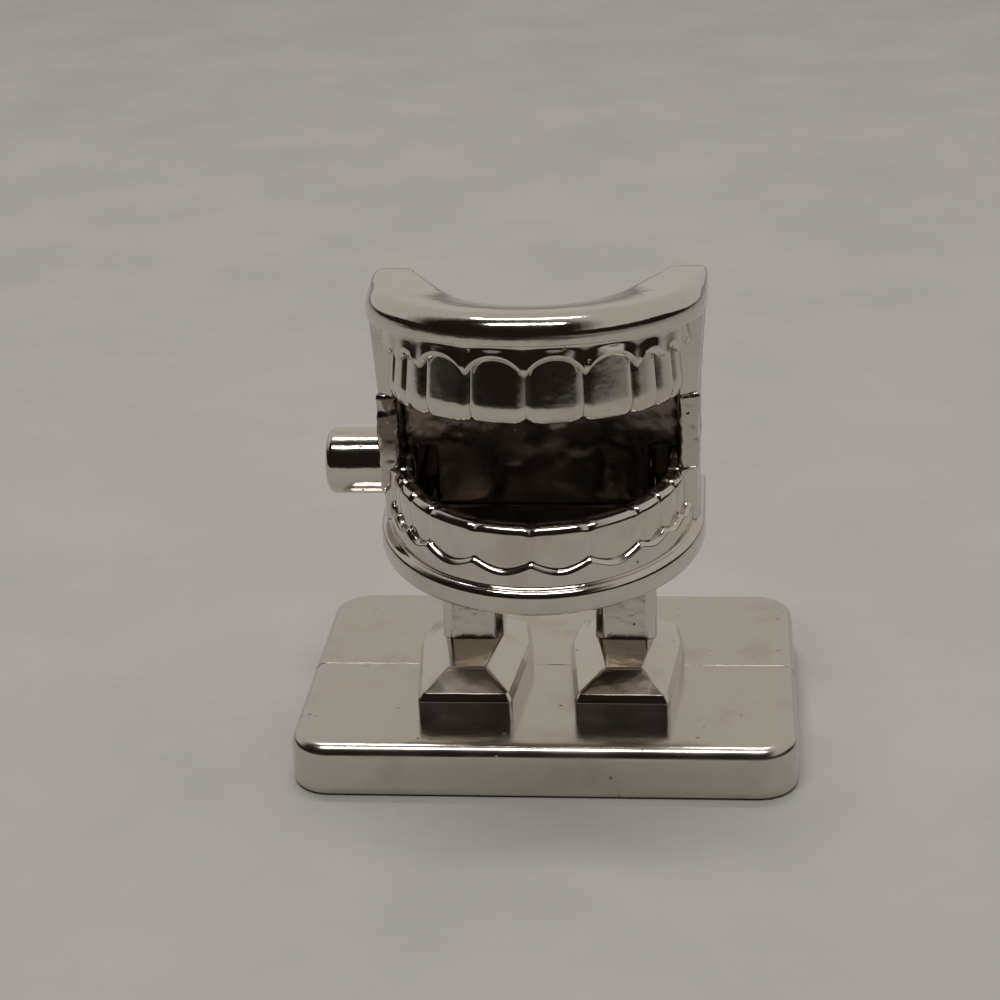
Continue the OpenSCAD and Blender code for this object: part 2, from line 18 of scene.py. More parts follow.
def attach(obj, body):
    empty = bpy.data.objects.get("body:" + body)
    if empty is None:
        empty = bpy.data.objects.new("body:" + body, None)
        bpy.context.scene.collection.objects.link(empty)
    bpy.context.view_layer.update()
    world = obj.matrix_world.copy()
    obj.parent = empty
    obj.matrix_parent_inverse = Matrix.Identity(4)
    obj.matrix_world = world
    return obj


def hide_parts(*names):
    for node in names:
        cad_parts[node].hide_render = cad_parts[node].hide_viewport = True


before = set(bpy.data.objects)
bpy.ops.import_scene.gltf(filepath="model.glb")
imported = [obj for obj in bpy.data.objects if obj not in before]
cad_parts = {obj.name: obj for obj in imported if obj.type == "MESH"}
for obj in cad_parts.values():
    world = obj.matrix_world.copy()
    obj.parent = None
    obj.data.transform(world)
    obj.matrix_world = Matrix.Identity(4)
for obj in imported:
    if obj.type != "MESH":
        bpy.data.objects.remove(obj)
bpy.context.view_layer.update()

LOG = logging.getLogger("token")
MM = 0.001
BODY = "root"
FIGURE_X = -0.2
MERGE_BELOW = 1e-7
SMOOTH_BELOW = math.radians(38)

Point2 = tuple[float, float]
Point3 = tuple[float, float, float]


# Geometry helpers


def arc(centre: Point2, radius: float, start: float, end: float, steps: int = 6) -> list[Point2]:
    """Points along an arc in a plane.

    Args:
        centre: The arc's centre.
        radius: Its radius.
        start: The first angle in degrees.
        end: The last angle in degrees.
        steps: How many pieces the arc is divided into.

    Returns:
        The points, both ends included.
    """
    angles = [math.radians(start + (end - start) * i / steps) for i in range(steps + 1)]
    return [(centre[0] + radius * math.cos(a), centre[1] + radius * math.sin(a)) for a in angles]


def smooth_step(low: float, high: float, value: float) -> float:
    """Rises smoothly from 0 at low to 1 at high."""
    t = min(1.0, max(0.0, (value - low) / (high - low)))
    return t * t * (3 - 2 * t)


def merge_doubles(mesh: bpy.types.Mesh, distance: float) -> None:
    """Merges a closed mesh's doubled points and turns its faces outward.

    Args:
        mesh: The mesh.
        distance: Points that are nearer than this, in metres, become one.
    """
    work = bmesh.new()
    work.from_mesh(mesh)
    bmesh.ops.remove_doubles(work, verts=work.verts, dist=distance)
    bmesh.ops.recalc_face_normals(work, faces=work.faces)
    work.to_mesh(mesh)
    work.free()


def finish_mesh(mesh: bpy.types.Mesh) -> None:
    """Turns a closed mesh's faces outward and smooths its shading between sharp edges.

    Args:
        mesh: The mesh, whose doubled points are merged first.
    """
    merge_doubles(mesh, MERGE_BELOW)
    mesh.polygons.foreach_set("use_smooth", [True] * len(mesh.polygons))
    mesh.set_sharp_from_angle(angle=SMOOTH_BELOW)
    mesh.update()


def weigh_normals(thing: bpy.types.Object) -> None:
    """Keeps flat faces flat in their shading, so that only the roundings between them turn.

    Args:
        thing: The object, whose mesh is replaced.
    """
    modifier = thing.modifiers.new("weighted normals", "WEIGHTED_NORMAL")
    modifier.mode = "FACE_AREA"
    modifier.weight = 50
    modifier.keep_sharp = True
    apply_modifiers(thing)


def object_from(name: str, points: Iterable[Sequence[float]], faces: Iterable[Sequence[int]],
                edges: Iterable[Sequence[int]] = ()) -> bpy.types.Object:
    """Makes an object from points in millimetres.

    Args:
        name: The object's name.
        points: Its vertices in millimetres.
        faces: Its faces as lists of vertex numbers.
        edges: Loose edges, for a mesh that is only a path.

    Returns:
        The new object, linked to the scene.
    """
    mesh = bpy.data.meshes.new(name)
    places = [[c * MM for c in p] for p in points]
    mesh.from_pydata(places, [list(e) for e in edges], [list(f) for f in faces])
    mesh.update()
    thing = bpy.data.objects.new(name, mesh)
    bpy.context.scene.collection.objects.link(thing)
    return thing


def apply_modifiers(thing: bpy.types.Object) -> None:
    """Replaces an object's mesh by the evaluated one and removes its modifiers.

    Args:
        thing: The object.
    """
    bpy.context.view_layer.update()
    evaluated = thing.evaluated_get(bpy.context.evaluated_depsgraph_get())
    plain = bpy.data.meshes.new_from_object(evaluated)
    thing.modifiers.clear()
    thing.data = plain


def join(name: str, parts: Sequence[bpy.types.Object]) -> bpy.types.Object:
    """Joins several objects' meshes into one new object and removes the old ones.

    Args:
        name: The new object's name.
        parts: The objects to join.

    Returns:
        The new object, linked to the scene.
    """
    work = bmesh.new()
    for part in parts:
        work.from_mesh(part.data)
    mesh = bpy.data.meshes.new(name)
    work.to_mesh(mesh)
    work.free()
    for part in parts:
        bpy.data.objects.remove(part)
    thing = bpy.data.objects.new(name, mesh)
    bpy.context.scene.collection.objects.link(thing)
    return thing


def round_edges(thing: bpy.types.Object, width: float, segments: int = 3, angle: float = 25) -> None:
    """Rounds an object's sharp edges.

    Args:
        thing: The object.
        width: The rounding's width in millimetres.
        segments: How many strips the rounding has.
        angle: Edges that turn by more than this many degrees are rounded.
    """
    bevel = thing.modifiers.new("rounding", "BEVEL")
    bevel.width = width * MM
    bevel.segments = segments
    bevel.limit_method = "ANGLE"
    bevel.angle_limit = math.radians(angle)
    bevel.use_clamp_overlap = True
    bevel.harden_normals = False
    apply_modifiers(thing)


def stacked_rings(name: str, rings: Sequence[Sequence[Point3]]) -> bpy.types.Object:
    """Makes a closed solid from rings of equal length, with flat ends.

    Args:
        name: The object's name.
        rings: The rings from one end to the other, in millimetres.

    Returns:
        The new object.
    """
    count = len(rings[0])
    faces = [list(reversed(range(count)))]
    for level in range(len(rings) - 1):
        for i in range(count):
            a = level * count + i
            b = level * count + (i + 1) % count
            faces.append([a, b, b + count, a + count])
    faces.append([(len(rings) - 1) * count + i for i in range(count)])
    return object_from(name, [p for ring in rings for p in ring], faces)


def set_layer(thing: bpy.types.Object, name: str, values: Sequence[float]) -> None:
    """Gives every point of an object a named number."""
    thing.data.attributes.new(name, "FLOAT", "POINT").data.foreach_set("value", values)


# Shader helpers


class Value:
    """A number socket in a node tree, with which expressions can be written."""

    def __init__(self, graph: "Graph", socket: bpy.types.NodeSocket) -> None:
        """Wraps a socket of the given graph."""
        self.graph = graph
        self.socket = socket

    def _math(self, operation: str, *terms: "Value | float") -> "Value":
        """Adds a Math node that works on the given terms."""
        return self.graph.add("ShaderNodeMath", {"operation": operation}, dict(enumerate(terms)))

    def __add__(self, other: "Value | float") -> "Value":
        """self + other."""
        return self._math("ADD", self, other)

    def __radd__(self, other: float) -> "Value":
        """other + self."""
        return self._math("ADD", other, self)

    def __sub__(self, other: "Value | float") -> "Value":
        """self - other."""
        return self._math("SUBTRACT", self, other)

    def __rsub__(self, other: float) -> "Value":
        """other - self."""
        return self._math("SUBTRACT", other, self)

    def __mul__(self, other: "Value | float") -> "Value":
        """self * other."""
        return self._math("MULTIPLY", self, other)

    def __rmul__(self, other: float) -> "Value":
        """other * self."""
        return self._math("MULTIPLY", other, self)

    def above(self, low: float, high: float) -> "Value":
        """A mask that rises smoothly from 0 at low to 1 at high."""
        return self.graph.add("ShaderNodeMapRange", {"interpolation_type": "SMOOTHSTEP"},
                              {"Value": self, "From Min": low, "From Max": high})


class Graph:
    """A shader node tree that is written as calls and expressions."""

    def __init__(self, tree: bpy.types.NodeTree) -> None:
        """Empties the tree and keeps it."""
        self.tree = tree
        tree.nodes.clear()

    def add(self, kind: str, settings: dict[str, object] | None = None,
            inputs: dict[object, object] | None = None, output: object = 0) -> Value:
        """Adds one node.

        Args:
            kind: The node's type.
            settings: Properties to set before its sockets are used.
            inputs: Values or links, by socket name or number.
            output: The name or number of the socket to return.

        Returns:
            The wrapped output socket.
        """
        node = self.tree.nodes.new(kind)
        for key, value in (settings or {}).items():
            setattr(node, key, value)
        for key, value in (inputs or {}).items():
            socket = node.inputs[key]
            if isinstance(value, Value):
                self.tree.links.new(value.socket, socket)
            else:
                socket.default_value = value
        return Value(self, node.outputs[output]) if len(node.outputs) else Value(self, None)

    def blend(self, mask: Value | float, first: object, second: object) -> Value:
        """Mixes two colours.

        Args:
            mask: 0 gives the first colour and 1 the second.
            first: A colour of three numbers or a link.
            second: The same.

        Returns:
            The mixed colour.
        """
        inputs = {"Factor": mask}
        for number, colour in ((6, first), (7, second)):
            inputs[number] = (*colour, 1.0) if isinstance(colour, tuple) else colour
        return self.add("ShaderNodeMix", {"data_type": "RGBA"}, inputs, output=2)

    def noise(self, place: Value, size: float, detail: float, roughness: float) -> Value:
        """Noise from 0 to 1 with bumps of about the given size in millimetres."""
        return self.add("ShaderNodeTexNoise", {}, {
            "Vector": place, "Scale": 1 / (size * MM), "Detail": detail, "Roughness": roughness})

    def parts(self, place: Value) -> tuple[Value, Value, Value]:
        """The three numbers of a vector."""
        split = self.add("ShaderNodeSeparateXYZ", {}, {0: place})
        return tuple(Value(self, s) for s in split.socket.node.outputs)


# Finishes


@dataclass(frozen=True)
class Plating:
    """Plated metal over a casting that is not quite smooth.

    Sizes, depths and places are in millimetres, shares run from 0 to 1, and pit_r is a share of
    the pits' spacing. Of two numbers, gloss has the roughness of the clean and of the stained metal.
    """

    name: str
    colour: Point3
    stain: Point3
    stain_share: float
    gloss: Point2
    ripple_size: float
    ripple_depth: float
    grain_depth: float
    pit_depth: float
    speck_share: float
    # Colour of the shade painted deep in the mouth, and of the dark patches in the corner over the left
    # cheek.
    painted_shade: Point3 | None = None
    recess_half_w: float = 6.95
    recess_edge: Point2 = (-0.25, 0.05)
    recess_back: Point2 = (2.4, 3.4)
    corner_low: Point2 = (14.9, 15.9)
    corner_back: Point2 = (-1.4, -1.0)
    corner_patch: float = 0.5
    grain_size: float = 0.16
    cloud_size: float = 3.1
    pit_spacing: float = 0.9
    pit_r: Point2 = (0.04, 0.11)
    pit_group: float = 1.7
    speck_size: float = 0.09
    speck: Point3 = (0.10, 0.08, 0.06)

    def painted_shade_mask(self, g: Graph, place: Value) -> Value:
        """Where shade is painted deep in the mouth, and where the corner over the left cheek is darkened in
        patches.

        Args:
            g: The material's graph.
            place: The place on the piece.

        Returns:
            The mask, which is 1 where the metal is painted darker.
        """
        x, y, z = g.parts(place)
        aside = g.add("ShaderNodeMath", {"operation": "ABSOLUTE"}, {0: x - FIGURE_X * MM})
        edge = [(self.recess_half_w + reach) * MM for reach in self.recess_edge]
        inside = (1 - aside.above(*edge)) * (1 - y.above(*(v * MM for v in self.recess_back)))
        corner = z.above(*(v * MM for v in self.corner_low)) * (x * -1).above(0, MM)
        corner = corner * g.noise(place, self.corner_patch, 2, 0.6).above(0.38, 0.5)
        corner = corner * (1 - y.above(*(v * MM for v in self.corner_back)))
        return g.add("ShaderNodeMath", {"operation": "MAXIMUM"}, {0: inside, 1: corner})

    def make(self) -> bpy.types.Material:
        """Builds the material.

        Returns:
            The new material.
        """
        material = bpy.data.materials.new(self.name)
        material.use_nodes = True
        g = Graph(material.node_tree)
        place = g.add("ShaderNodeTexCoord", output="Object")
        ripple = g.noise(place, self.ripple_size, 2, 0.45)
        grain = g.noise(place, self.grain_size, 3, 0.6)
        cloud = g.noise(place, self.cloud_size, 4, 0.6)
        nearest = g.add("ShaderNodeTexVoronoi", {"feature": "F1"},
                        {"Vector": place, "Scale": 1 / (self.pit_spacing * MM)})
        pit = (1 - nearest.above(*self.pit_r)) * g.noise(place, self.pit_group, 1, 0.5).above(0.56, 0.62)
        height = ripple * self.ripple_depth + grain * self.grain_depth - pit * self.pit_depth
        bump = g.add("ShaderNodeBump", {}, {"Height": height, "Strength": 1.0, "Distance": MM})
        colour = g.blend(cloud.above(0.52, 0.72) * self.stain_share, self.colour, self.stain)
        # Paints shade deep in the mouth, and dark patches in the corner over the left cheek, into the colour.
        if self.painted_shade:
            colour = g.blend(self.painted_shade_mask(g, place), colour, self.painted_shade)
        speck = g.noise(place, self.speck_size, 2, 0.7).above(0.70, 0.76) * self.speck_share
        colour = g.blend(speck + pit * 0.6, colour, self.speck)
        shine, dull = self.gloss
        rough = shine + cloud.above(0.35, 0.75) * (dull - shine) + speck * 0.2
        shader = g.add("ShaderNodeBsdfPrincipled", {}, {
            "Base Color": colour, "Metallic": 1.0, "Roughness": rough, "Normal": bump})
        g.add("ShaderNodeOutputMaterial", {}, {"Surface": shader})
        return material


class Finish(Enum):
    """The token's three finishes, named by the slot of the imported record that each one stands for."""

    base_plating = Plating(
        "base plating", colour=(0.62, 0.585, 0.535), stain=(0.50, 0.455, 0.40), stain_share=0.5,
        gloss=(0.17, 0.27), ripple_size=2.6, ripple_depth=0.020, grain_depth=0.0012, pit_depth=0.05,
        speck_share=0.5)
    figure_plating = Plating(
        "figure plating", colour=(0.66, 0.625, 0.575), stain=(0.53, 0.48, 0.42), stain_share=0.5,
        gloss=(0.09, 0.17), ripple_size=0.8, ripple_depth=0.015, grain_depth=0.0010, pit_depth=0.03,
        speck_share=0.25)
    # The mouth's plating has shade painted deep in the mouth.
    mouth_plating = Plating(
        "mouth plating", colour=(0.56, 0.52, 0.47), stain=(0.30, 0.25, 0.20), stain_share=0.8,
        gloss=(0.16, 0.34), ripple_size=0.8, ripple_depth=0.022, grain_depth=0.003, pit_depth=0.04,
        speck_share=0.6, painted_shade=(0.20, 0.165, 0.14))


class Workshop:
    """Keeps the finished materials and hands pieces over to the frame."""

    def __init__(self) -> None:
        """Makes every finish once."""
        self.materials = {finish: finish.value.make() for finish in Finish}

    def dress(self, thing: bpy.types.Object, finish: Finish, *nodes: str) -> None:
        """Gives a piece its finish and its place in the frame.

        Args:
            thing: The finished piece.
            finish: Its finish.
            *nodes: The nodes that it stands for.
        """
        thing.data.materials.clear()
        thing.data.materials.append(self.materials[finish])
        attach(thing, BODY)
        if nodes:
            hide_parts(*nodes)
        LOG.info("%s: %d faces", thing.name, len(thing.data.polygons))


# Geometry node trees


class GeometryTree:
    """A geometry node tree with named inputs."""

    def __init__(self, name: str, inputs: Sequence[tuple[str, str, object]]) -> None:
        """Makes an empty tree.

        Args:
            name: The tree's name.
            inputs: Name, socket type and default value of each input after the geometry.
        """
        self.tree = bpy.data.node_groups.new(name, "GeometryNodeTree")
        face = self.tree.interface
        face.new_socket("Geometry", in_out="INPUT", socket_type="NodeSocketGeometry")
        for label, kind, value in inputs:
            socket = face.new_socket(label, in_out="INPUT", socket_type=kind)
            if value is not None:
                socket.default_value = value
        face.new_socket("Geometry", in_out="OUTPUT", socket_type="NodeSocketGeometry")
        self.source = self.tree.nodes.new("NodeGroupInput")
        self.sink = self.tree.nodes.new("NodeGroupOutput")

    def add(self, kind: str, settings: dict[str, object] | None = None,
            inputs: dict[object, object] | None = None) -> bpy.types.Node:
        """Adds a node.

        Args:
            kind: The node's type.
            settings: Properties to set before its sockets are used.
            inputs: Values or links, by socket name or number.

        Returns:
            The node.
        """
        node = self.tree.nodes.new(kind)
        for key, value in (settings or {}).items():
            setattr(node, key, value)
        for key, value in (inputs or {}).items():
            if isinstance(value, bpy.types.NodeSocket):
                self.tree.links.new(value, node.inputs[key])
            else:
                node.inputs[key].default_value = value
        return node

    def given(self, name: str) -> bpy.types.NodeSocket:
        """The socket of one of the tree's inputs."""
        return self.source.outputs[name]

    def layer(self, name: str) -> bpy.types.NodeSocket:
        """The number that the points carry under a name."""
        node = self.add("GeometryNodeInputNamedAttribute", {"data_type": "FLOAT"}, {"Name": name})
        return node.outputs["Attribute"]

    def put(self, geometry: bpy.types.NodeSocket) -> bpy.types.NodeSocket:
        """Tilts a jaw's piece about X, then lifts and shifts it to its place.

        Args:
            geometry: The piece as it is built.

        Returns:
            The piece in its place.
        """
        turn = self.add("ShaderNodeCombineXYZ", {}, {"X": self.given("Tilt")})
        move = self.add("ShaderNodeCombineXYZ", {}, {"X": self.given("Shift"), "Z": self.given("Lift")})
        place = self.add("GeometryNodeTransform", {}, {
            "Geometry": geometry, "Translation": move.outputs[0], "Rotation": turn.outputs[0]})
        return place.outputs[0]

    def end(self, geometry: bpy.types.NodeSocket) -> None:
        """Ends the tree in Realize Instances and Set Material.

        Args:
            geometry: What the tree has made.
        """
        real = self.add("GeometryNodeRealizeInstances", {}, {"Geometry": geometry})
        dressed = self.add("GeometryNodeSetMaterial", {}, {
            "Geometry": real.outputs[0], "Material": self.given("Material")})
        self.tree.links.new(dressed.outputs[0], self.sink.inputs[0])

    def run(self, thing: bpy.types.Object, values: dict[str, object]) -> None:
        """Runs the tree on an object and keeps the plain result.

        Args:
            thing: The object that carries the path or the seats.
            values: The inputs by name.
        """
        modifier = thing.modifiers.new(self.tree.name, "NODES")
        modifier.node_group = self.tree
        names = {s.name: s.identifier for s in self.tree.interface.items_tree if s.in_out == "INPUT"}
        for label, value in values.items():
            modifier[names[label]] = value
        apply_modifiers(thing)


PLACE_INPUTS = [("Tilt", "NodeSocketFloat", 0.0), ("Lift", "NodeSocketFloat", 0.0),
                ("Shift", "NodeSocketFloat", 0.0), ("Material", "NodeSocketMaterial", None)]


def band_tree() -> GeometryTree:
    """Carries a closed outline along a path, and lifts its lip by the path's scallops.

    Returns:
        The tree.
    """
    t = GeometryTree("carried outline", [("Outline", "NodeSocketObject", None)] + PLACE_INPUTS)
    path = t.add("GeometryNodeMeshToCurve", {}, {"Mesh": t.given("Geometry")})
    upright = t.add("GeometryNodeSetCurveNormal", {"mode": "Z_UP"}, {"Curve": path.outputs[0]})
    shape = t.add("GeometryNodeObjectInfo", {}, {"Object": t.given("Outline")})
    outline = t.add("GeometryNodeMeshToCurve", {}, {"Mesh": shape.outputs["Geometry"]})
    band = t.add("GeometryNodeCurveToMesh", {}, {
        "Curve": upright.outputs[0], "Profile Curve": outline.outputs[0], "Fill Caps": True})
    rise = t.add("ShaderNodeMath", {"operation": "MULTIPLY"}, {0: t.layer("scallop"), 1: t.layer("lip")})
    offset = t.add("ShaderNodeCombineXYZ", {}, {"Z": rise.outputs[0]})
    lifted = t.add("GeometryNodeSetPosition", {}, {"Geometry": band.outputs[0], "Offset": offset.outputs[0]})
    t.end(t.put(lifted.outputs[0]))
    return t


def row_tree() -> GeometryTree:
    """Sets one tooth on every seat of a row, turned and widened as the seat says.

    Returns:
        The tree.
    """
    t = GeometryTree("row of teeth", [("Tooth", "NodeSocketObject", None)] + PLACE_INPUTS)
    turn = t.add("ShaderNodeCombineXYZ", {}, {"Z": t.layer("heading")})
    size = t.add("ShaderNodeCombineXYZ", {}, {"X": t.layer("width"), "Y": 1.0, "Z": 1.0})
    tooth = t.add("GeometryNodeObjectInfo", {}, {"Object": t.given("Tooth"), "As Instance": True})
    row = t.add("GeometryNodeInstanceOnPoints", {}, {
        "Points": t.given("Geometry"), "Instance": tooth.outputs["Geometry"],
        "Rotation": turn.outputs[0], "Scale": size.outputs[0]})
    t.end(t.put(row.outputs[0]))
    return t


def seam_tree() -> GeometryTree:
    """Lays a thin uneven ridge along a path, as the parting line of a mould leaves it.

    Returns:
        The tree.
    """
    t = GeometryTree("casting seam", [
        ("Thickness", "NodeSocketFloat", 0.0), ("Unevenness", "NodeSocketFloat", 0.0),
        ("Grain", "NodeSocketFloat", 1000.0), ("Points", "NodeSocketInt", 420),
        ("Material", "NodeSocketMaterial", None)])
    path = t.add("GeometryNodeMeshToCurve", {}, {"Mesh": t.given("Geometry")})
    fine = t.add("GeometryNodeResampleCurve", {}, {"Curve": path.outputs[0], "Count": t.given("Points")})
    lumps = t.add("ShaderNodeTexNoise", {"noise_dimensions": "3D"},
                  {"Scale": t.given("Grain"), "Detail": 3.0})
    centred = t.add("ShaderNodeVectorMath", {"operation": "SUBTRACT"},
                    {0: lumps.outputs["Color"], 1: (0.5, 0.5, 0.5)})
    moved = t.add("ShaderNodeVectorMath", {"operation": "SCALE"},
                  {0: centred.outputs[0], "Scale": t.given("Unevenness")})
    rough = t.add("GeometryNodeSetPosition", {}, {"Geometry": fine.outputs[0], "Offset": moved.outputs[0]})
    ring = t.add("GeometryNodeCurvePrimitiveCircle", {}, {"Resolution": 10, "Radius": t.given("Thickness")})
    ridge = t.add("GeometryNodeCurveToMesh", {}, {
        "Curve": rough.outputs[0], "Profile Curve": ring.outputs[0], "Fill Caps": True})
    t.end(ridge.outputs[0])
    return t


# The token's sub-assemblies


def weighted(points: Iterable[Point2], lip: float) -> list[Point3]:
    """Adds the same lip weight to points of radius and height."""
    return [(radius, height, lip) for radius, height in points]


@dataclass
class Jaws:
    """What both jaws share: a horseshoe plan and the layout of the teeth along it."""

    flange_r: float = 8.15
    arm: float = 3.8
    gum_r: float = 7.65
    tooth_r: float = 7.35
    tooth_t: float = 1.05
    tooth_gap: float = 0.03
    collar_r: float = 6.27
    collar_in_r: float = 5.37
    edge_r: float = 0.15
    heel_t: float = 0.5
    heel_edge_r: float = 0.12
    cheek_half_w: float = 7.9
    flank_in_r: float = 6.98
    flank_reach: float = 0.4
    flank_nose: Point2 = (0.5, 1.3)
    flank_lean_in: float = 0.12
    flank_edge_r: float = 0.1
    end_cover: float = 0.03
    path_r: float = 7.0
    arm_teeth: int = 2
    shares: tuple[float, ...] = (0.244, 0.236, 0.148, 0.134, 0.122, 0.116)

    def boundaries(self) -> list[float]:
        """Where the teeth of the half circle meet, counted from the middle of the row.

        Returns:
            Angles in radians.
        """
        total = 0.0
        found = [0.0]
        for share in self.shares:
            total += share * math.pi / 2
            found.append(total)
        return found

    def arm_tooth_w(self) -> float:
        """Width of a tooth on an arm."""
        return (self.arm - self.heel_t - self.tooth_gap) / self.arm_teeth

    def place(self, radius: float, turn: float, back: float) -> Point3:
        """A point of the plan, by its radius, its angle from the front and its distance along an arm."""
        return (radius * math.sin(turn), -radius * math.cos(turn) + back, 0.0)

    def path(self, steps: int = 300, arm_steps: int = 44) -> list[tuple[Point3, float, float]]:
        """The path that outlines follow, from the left arm round the front to the right one.

        Args:
            steps: How many pieces the half circle is divided into.
            arm_steps: The same for each arm.

        Returns:
            For each point its place, its turn and its distance along an arm.
        """
        quarter = math.pi / 2
        arms = [self.arm * i / arm_steps for i in range(arm_steps, 0, -1)]
        bends = [-quarter + math.pi * i / steps for i in range(steps + 1)]
        where = [(-quarter, back) for back in arms] + [(turn, 0.0) for turn in bends]
        where += [(quarter, back) for back in reversed(arms)]
        return [(self.place(self.path_r, turn, back), turn, back) for turn, back in where]

    def scallop(self, turn: float, back: float, share: float, soft: float, point_w: float = 0.15) -> float:
        """Depth of the gum's arch at a place along the row.

        Args:
            turn: Angle from the front in radians.
            back: Distance along an arm.
            share: Depth of an arch as a share of its tooth's width.
            soft: 0 for pointed gums between the teeth and 1 for round ones.
            point_w: Width of the gum's point between two teeth.

        Returns:
            The depth, which is 0 between two teeth.
        """
        if back > 0:
            width = self.arm_tooth_w()
            if back > width * self.arm_teeth:
                return 0.0
            offset = back % width - width / 2
        else:
            edges = self.boundaries()
            angle = min(abs(turn), edges[-1] - 1e-6)
            i = max(k for k in range(len(self.shares)) if edges[k] <= angle)
            width = 2 * self.gum_r * math.sin((edges[i + 1] - edges[i]) / 2)
            offset = self.gum_r * math.sin(angle - (edges[i] + edges[i + 1]) / 2)
        depth = share * width
        chord = width - point_w
        radius = (chord * chord / 4 + depth * depth) / (2 * depth)
        if abs(offset) >= chord / 2:
            return 0.0
        arch = max(0.0, math.sqrt(radius * radius - offset * offset) - (radius - depth))
        wave = depth * math.cos(math.pi * offset / chord) ** 2
        return arch * (1 - soft) + wave * soft

    def path_object(self, name: str, share: float, soft: float, way: int) -> bpy.types.Object:
        """Makes the path as a mesh of edges that carries the scallops.

        Args:
            name: The object's name.
            share: Depth of an arch as a share of its tooth's width.
            soft: 0 for pointed gums between the teeth and 1 for round ones.
            way: 1 where the arches rise and -1 where they dip.

        Returns:
            The path.
        """
        path = self.path()
        thing = object_from(name, [p for p, _, _ in path], [], [(i, i + 1) for i in range(len(path) - 1)])
        depths = [self.scallop(turn, back, share, soft) for _, turn, back in path]
        set_layer(thing, "scallop", [way * depth * MM for depth in depths])
        return thing

    def outline_object(self, name: str, outline: Sequence[Point3]) -> bpy.types.Object:
        """Makes a closed outline as a mesh of edges.

        Args:
            name: The object's name.
            outline: Radius, height and lip weight of each point.

        Returns:
            The outline.
        """
        count = len(outline)
        points = [(r - self.path_r, -z, 0.0) for r, z, _ in outline]
        thing = object_from(name, points, [], [(i, (i + 1) % count) for i in range(count)])
        set_layer(thing, "lip", [lip for _, _, lip in outline])
        return thing

    def seats(self, name: str) -> bpy.types.Object:
        """Makes the seats of a row's teeth as points that carry heading and width.

        Args:
            name: The object's name.

        Returns:
            The seats.
        """
        made = []
        edges = self.boundaries()
        width = self.arm_tooth_w()
        for side in (-1, 1):
            for low, high in zip(edges, edges[1:]):
                made.append((side * (low + high) / 2, 0.0, 2 * self.tooth_r * math.tan((high - low) / 2)))
            made += [(side * math.pi / 2, (i + 0.5) * width, width) for i in range(self.arm_teeth)]
        thing = object_from(name, [self.place(self.tooth_r, turn, back) for turn, back, _ in made], [])
        set_layer(thing, "heading", [turn + math.pi for turn, _, _ in made])
        set_layer(thing, "width", [wide - self.tooth_gap for _, _, wide in made])
        return thing

    def slab(self, name: str, radius: float, low: float, high: float, drop: float = 0.0,
             steps: int = 60) -> bpy.types.Object:
        """A plate of horseshoe plan between two heights.

        Args:
            name: The object's name.
            radius: Half the plate's width.
            low: Height of its underside.
            high: Height of its top in front.
            drop: How much lower the top is at the rear end.
            steps: How many pieces the half circle is divided into.

        Returns:
            The plate.
        """
        rear = self.arm - self.end_cover
        bends = [self.place(radius, -math.pi / 2 + math.pi * i / steps, 0.0) for i in range(steps + 1)]
        plan = [(-radius, rear)] + [(x, y) for x, y, _ in bends] + [(radius, rear)]
        top = [(x, y, high - drop * max(0.0, y) / self.arm) for x, y in plan]
        return stacked_rings(name, [[(x, y, low) for x, y in plan], top])

    def heel(self, name: str, side: int, across: Point2, along: Point2) -> bpy.types.Object:
        """A block behind the last tooth, which closes the end of an arm.

        Args:
            name: The object's name.
            side: -1 for the left arm and 1 for the right arm.
            across: Nearest and furthest distance from the middle.
            along: Lowest and highest height.

        Returns:
            The block.
        """
        near, far = self.arm - self.heel_t, self.arm + self.end_cover
        left, right = sorted(side * x for x in across)
        plan = [(left, near), (right, near), (right, far), (left, far)]
        block = stacked_rings(name, [[(x, y, z) for x, y in plan] for z in along])
        round_edges(block, self.heel_edge_r)
        return block

    def flank(self, name: str, side: int, levels: Sequence[Point2], corner: float) -> bpy.types.Object:
        """The plain wall outside the teeth of an arm.

        Args:
            name: The object's name.
            side: -1 for the left arm and 1 for the right arm.
            levels: Height and half width of the jaw at each level.
            corner: Radius of the rear outer corner.

        Returns:
            The wall.
        """
        rings = []
        rear = self.arm - self.end_cover
        short, long = (-self.flank_reach - reach for reach in self.flank_nose)
        for z, half in levels:
            plan = [(self.flank_in_r, long), (half - self.flank_lean_in, short), (half, -self.flank_reach)]
            plan += arc((half - corner, rear - corner), corner, 0, 90, 6) + [(self.flank_in_r, rear)]
            rings.append([(side * x, y, z) for x, y in plan])
        wall = stacked_rings(name, rings)
        round_edges(wall, self.flank_edge_r, angle=30)
        return wall


